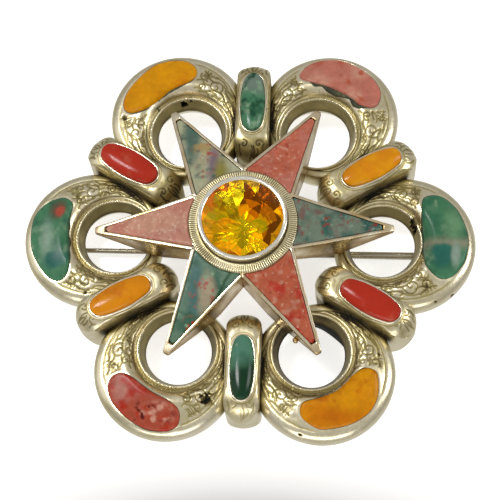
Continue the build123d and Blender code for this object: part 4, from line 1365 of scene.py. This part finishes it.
def build_catch():
    """The catch: a block with a round-topped slot, drawn across the pin and made solid along it."""
    outer, low = CATCH_SLOT + CATCH_WALL, PIN_HEIGHT - CATCH_DEPTH
    arch = polar(CATCH_SLOT, np.linspace(pi, 0, 20), (0, PIN_HEIGHT))
    clip = [(-outer, FOOT_TOP), (-outer, low), (-CATCH_SLOT, low), *arch, (CATCH_SLOT, low), (outer, low),
            (outer, FOOT_TOP)]
    work = bmesh.new()
    left, right = [[work.verts.new((x * MM, y * MM, (z + LIFT) * MM)) for y, z in clip] for x in CATCH_ENDS]
    for k in range(len(clip)):
        after = (k + 1) % len(clip)
        work.faces.new((left[k], left[after], right[after], right[k]))
    work.faces.new(left[::-1])
    work.faces.new(right)
    bmesh.ops.triangulate(work, faces=[face for face in work.faces if len(face.verts) > 4])
    bmesh.ops.recalc_face_normals(work, faces=work.faces)
    mesh = bpy.data.meshes.new("catch")
    work.to_mesh(mesh)
    work.free()
    layer = mesh.attributes.new("grime_and_shade", "FLOAT", "POINT")
    layer.data.foreach_set("value", np.full(len(mesh.vertices), 0.3, np.float32))
    place_piece("catch", mesh, SILVER_PLAIN, ("ring_frame",))


# Centre stone: the CAD stone's facets, in clear yellow-orange glass, over a back of painted reflections with
# a faint painted glow

def crown_glass():
    n = Nodes("citrine_front")
    tint = n.ramp(n.noise(200, 2), [(0.35, (1.0, 0.82, 0.25)), (0.65, (1.0, 0.88, 0.34))])
    return n.out(Base_Color=tint, Roughness=0.0, IOR=1.38, Transmission_Weight=1.0,
                 Specular_Tint=(1.0, 0.6, 0.05, 1))


# Painted reflections that the stone's back throws forward, each from its share of the scale on
SPARKLE = [(0.0, (0.20, 0.055, 0.004)), (0.24, (0.60, 0.20, 0.008)), (0.36, (0.95, 0.47, 0.012)),
           (0.52, (0.60, 0.53, 0.02)), (0.70, (1.0, 0.72, 0.025)), (0.86, (1.0, 0.92, 0.05))]


def back_facets(middle, radius):
    """The mirror-like back, broken into kites as the facets show one another in it: painted reflections, with
    a faint painted glow.
    """
    n = Nodes("citrine_back")
    spot = n.mapped((1 / radius,) * 3, tuple(-part / radius for part in middle))
    x, y, _ = n.add("ShaderNodeSeparateXYZ", Vector=spot).outputs
    far = n.math("SQRT", n.plus(n.times(x, x), n.times(y, y)))
    sector = n.times(n.math("ARCTAN2", y, x), 8 / (2 * pi))
    zigzag = n.math("PINGPONG", sector, 0.5)
    ring = n.math("FLOOR", n.plus(n.times(far, 3.3), n.times(zigzag, 1.6)))
    cell = n.math("FLOORED_MODULO", n.math("FLOOR", n.plus(sector, n.times(ring, 0.5))), 8.0)
    place = n.add("ShaderNodeCombineXYZ", X=cell, Y=ring, Z=3.0).outputs[0]
    chance = n.add("ShaderNodeTexWhiteNoise", Vector=place).outputs
    level = n.times(n.math("SUBTRACT", chance["Value"], 0.5), n.times(far, 1.45))
    level = n.plus(level, n.math("SUBTRACT", 0.66, n.times(far, 0.26)))
    level = n.math("SUBTRACT", level, n.times(y, 0.14), clamp=True)
    shade = n.ramp(level, SPARKLE, "CONSTANT")
    lean = n.vector("SUBTRACT", chance["Color"], (0.5, 0.5, 0.5))
    lean = n.add("ShaderNodeVectorMath", {"operation": "SCALE"}, Vector=lean, Scale=0.45).outputs[0]
    tilted = n.vector("ADD", lean, n.add("ShaderNodeNewGeometry").outputs["Normal"])
    # The shades also glow a little: a painted glow.
    return n.out(Base_Color=shade, Metallic=1.0, Roughness=0.10, Normal=n.vector("NORMALIZE", tilted),
                 Emission_Color=shade, Emission_Strength=0.16)


def dress_citrine():
    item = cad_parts["citrine"]
    mesh = item.data
    corners = np.array([corner[:] for corner in item.bound_box])
    low, high = corners.min(0), corners.max(0)
    mesh.materials.clear()
    mesh.materials.append(crown_glass())
    mesh.materials.append(back_facets((low + high) / 2, (high[0] - low[0]) / 2))
    for face in mesh.polygons:
        direction = item.matrix_world.to_3x3() @ face.normal
        face.material_index = 0 if direction.z > -0.3 else 1


def dress(node, material):
    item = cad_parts[node]
    item.data.materials.clear()
    item.data.materials.append(material)


for index in range(6):
    build_ring(index)
    build_strap(index)
    build_arm(index)
build_ring_stones()
build_strap_stones()
build_star_stones()
build_milled()
build_bezel()
build_hub()
build_nub()
build_ears()
build_catch()
dress_citrine()
dress("pin_stem", PIN_METAL)
dress("hinge_rivet", PIN_METAL)


# Camera, at the photo's angle
CAMERA_TILT = (-21.09, -2.84, -2.15)   # degrees about X, Y and Z
CAMERA_DISTANCE = 230.4
CAMERA_LENS = 120.1
CAMERA_SHIFT = (0.0012, -0.0106)


def make_camera():
    turn = Matrix.Identity(3)
    for axis, angle in zip("XYZ", CAMERA_TILT):
        turn = turn @ Matrix.Rotation(radians(angle), 3, axis)
    view = turn.transposed()
    place = view @ Vector((0, 0, CAMERA_DISTANCE)) + Vector((0, 0, LIFT))
    data = bpy.data.cameras.new("camera")
    data.sensor_width = 36
    data.lens = CAMERA_LENS
    data.shift_x, data.shift_y = CAMERA_SHIFT
    data.clip_start, data.clip_end = 0.01, 10
    camera = in_scene("camera", data)
    camera.matrix_world = Matrix.Translation(place * MM) @ view.to_4x4()
    bpy.context.scene.camera = camera


# Lamps, each facing the origin. Columns: name, place and size in metres, power in watts.
LIGHTS = [
    ("left_box", (-0.40, 0.02, 0.20), (0.30, 0.55), 0.28),
    ("right_box", (0.38, 0.05, 0.27), (0.14, 0.30), 0.64),
    ("key_box", (-0.18, 0.07, 0.41), (0.09, 0.14), 0.75),
    ("front_box", (0.0, -0.45, 0.16), (0.55, 0.24), 0.9),
]


def area_light(name, place, size, power):
    data = bpy.data.lights.new(name, "AREA")
    data.shape = "RECTANGLE"
    data.size, data.size_y = size
    data.energy = power
    light = in_scene(name, data)
    light.location = place
    light.rotation_mode = "QUATERNION"
    light.rotation_quaternion = (-Vector(place)).to_track_quat("-Z", "Y")


def dim_world(world):
    """A studio brightest below, dimmest round and just above the horizon, a little brighter overhead."""
    tree = world.node_tree
    place, split, height, ramp = [tree.nodes.new("ShaderNode" + kind) for kind in
                                  ("TexCoord", "SeparateXYZ", "MapRange", "ValToRGB")]
    tree.links.new(place.outputs["Generated"], split.inputs[0])
    tree.links.new(split.outputs["Z"], height.inputs["Value"])
    height.inputs["From Min"].default_value = -1.0
    tree.links.new(height.outputs[0], ramp.inputs["Fac"])
    tree.links.new(ramp.outputs["Color"], tree.nodes["Background"].inputs["Color"])
    points = ramp.color_ramp.elements
    for where, level in ((0.30, 0.62), (0.43, 0.42), (0.60, 0.40), (0.75, 0.48)):
        points.new(where).color = (level, level * 0.98, level * 0.94, 1)
    points[0].color = (0.72, 0.71, 0.68, 1)
    points[len(points) - 1].color = (0.54, 0.53, 0.50, 1)


make_camera()
bpy.context.scene.view_settings.view_transform = "Standard"
for light in LIGHTS:
    area_light(*light)

world = bpy.data.worlds.new("tent")
bpy.context.scene.world = world
world.use_nodes = True
dim_world(world)


def build_floor(reach=0.6):
    mesh = bpy.data.meshes.new("floor")
    mesh.from_pydata([(-reach, -reach, 0), (reach, -reach, 0), (reach, reach, 0), (-reach, reach, 0)], [],
                     [(0, 1, 2, 3)])
    floor = in_scene("floor", mesh)
    # A soft grey shadow is painted on the table in front of the part.
    n = Nodes("floor")
    centre, half_x, half_y = (1.5 * MM, -40 * MM), 38 * MM, 10.8 * MM
    spot = n.mapped((1 / half_x, 1 / half_y, 1), (-centre[0] / half_x, -centre[1] / half_y, 0))
    away = n.add("ShaderNodeVectorMath", {"operation": "LENGTH"}, Vector=spot).outputs["Value"]
    shadow_tone = n.ramp(away, [(0.40, 0.40), (0.51, 0.43), (0.675, 0.53), (0.77, 0.57), (0.87, 0.615), (1.0, 1.0)])
    mesh.materials.append(n.out(Base_Color=n.mix(1.0, shadow_tone, (0.9, 0.9, 0.9), "MULTIPLY"), Roughness=0.8,
                                Emission_Color=shadow_tone, Emission_Strength=0.66))
    floor.visible_glossy = False


build_floor()
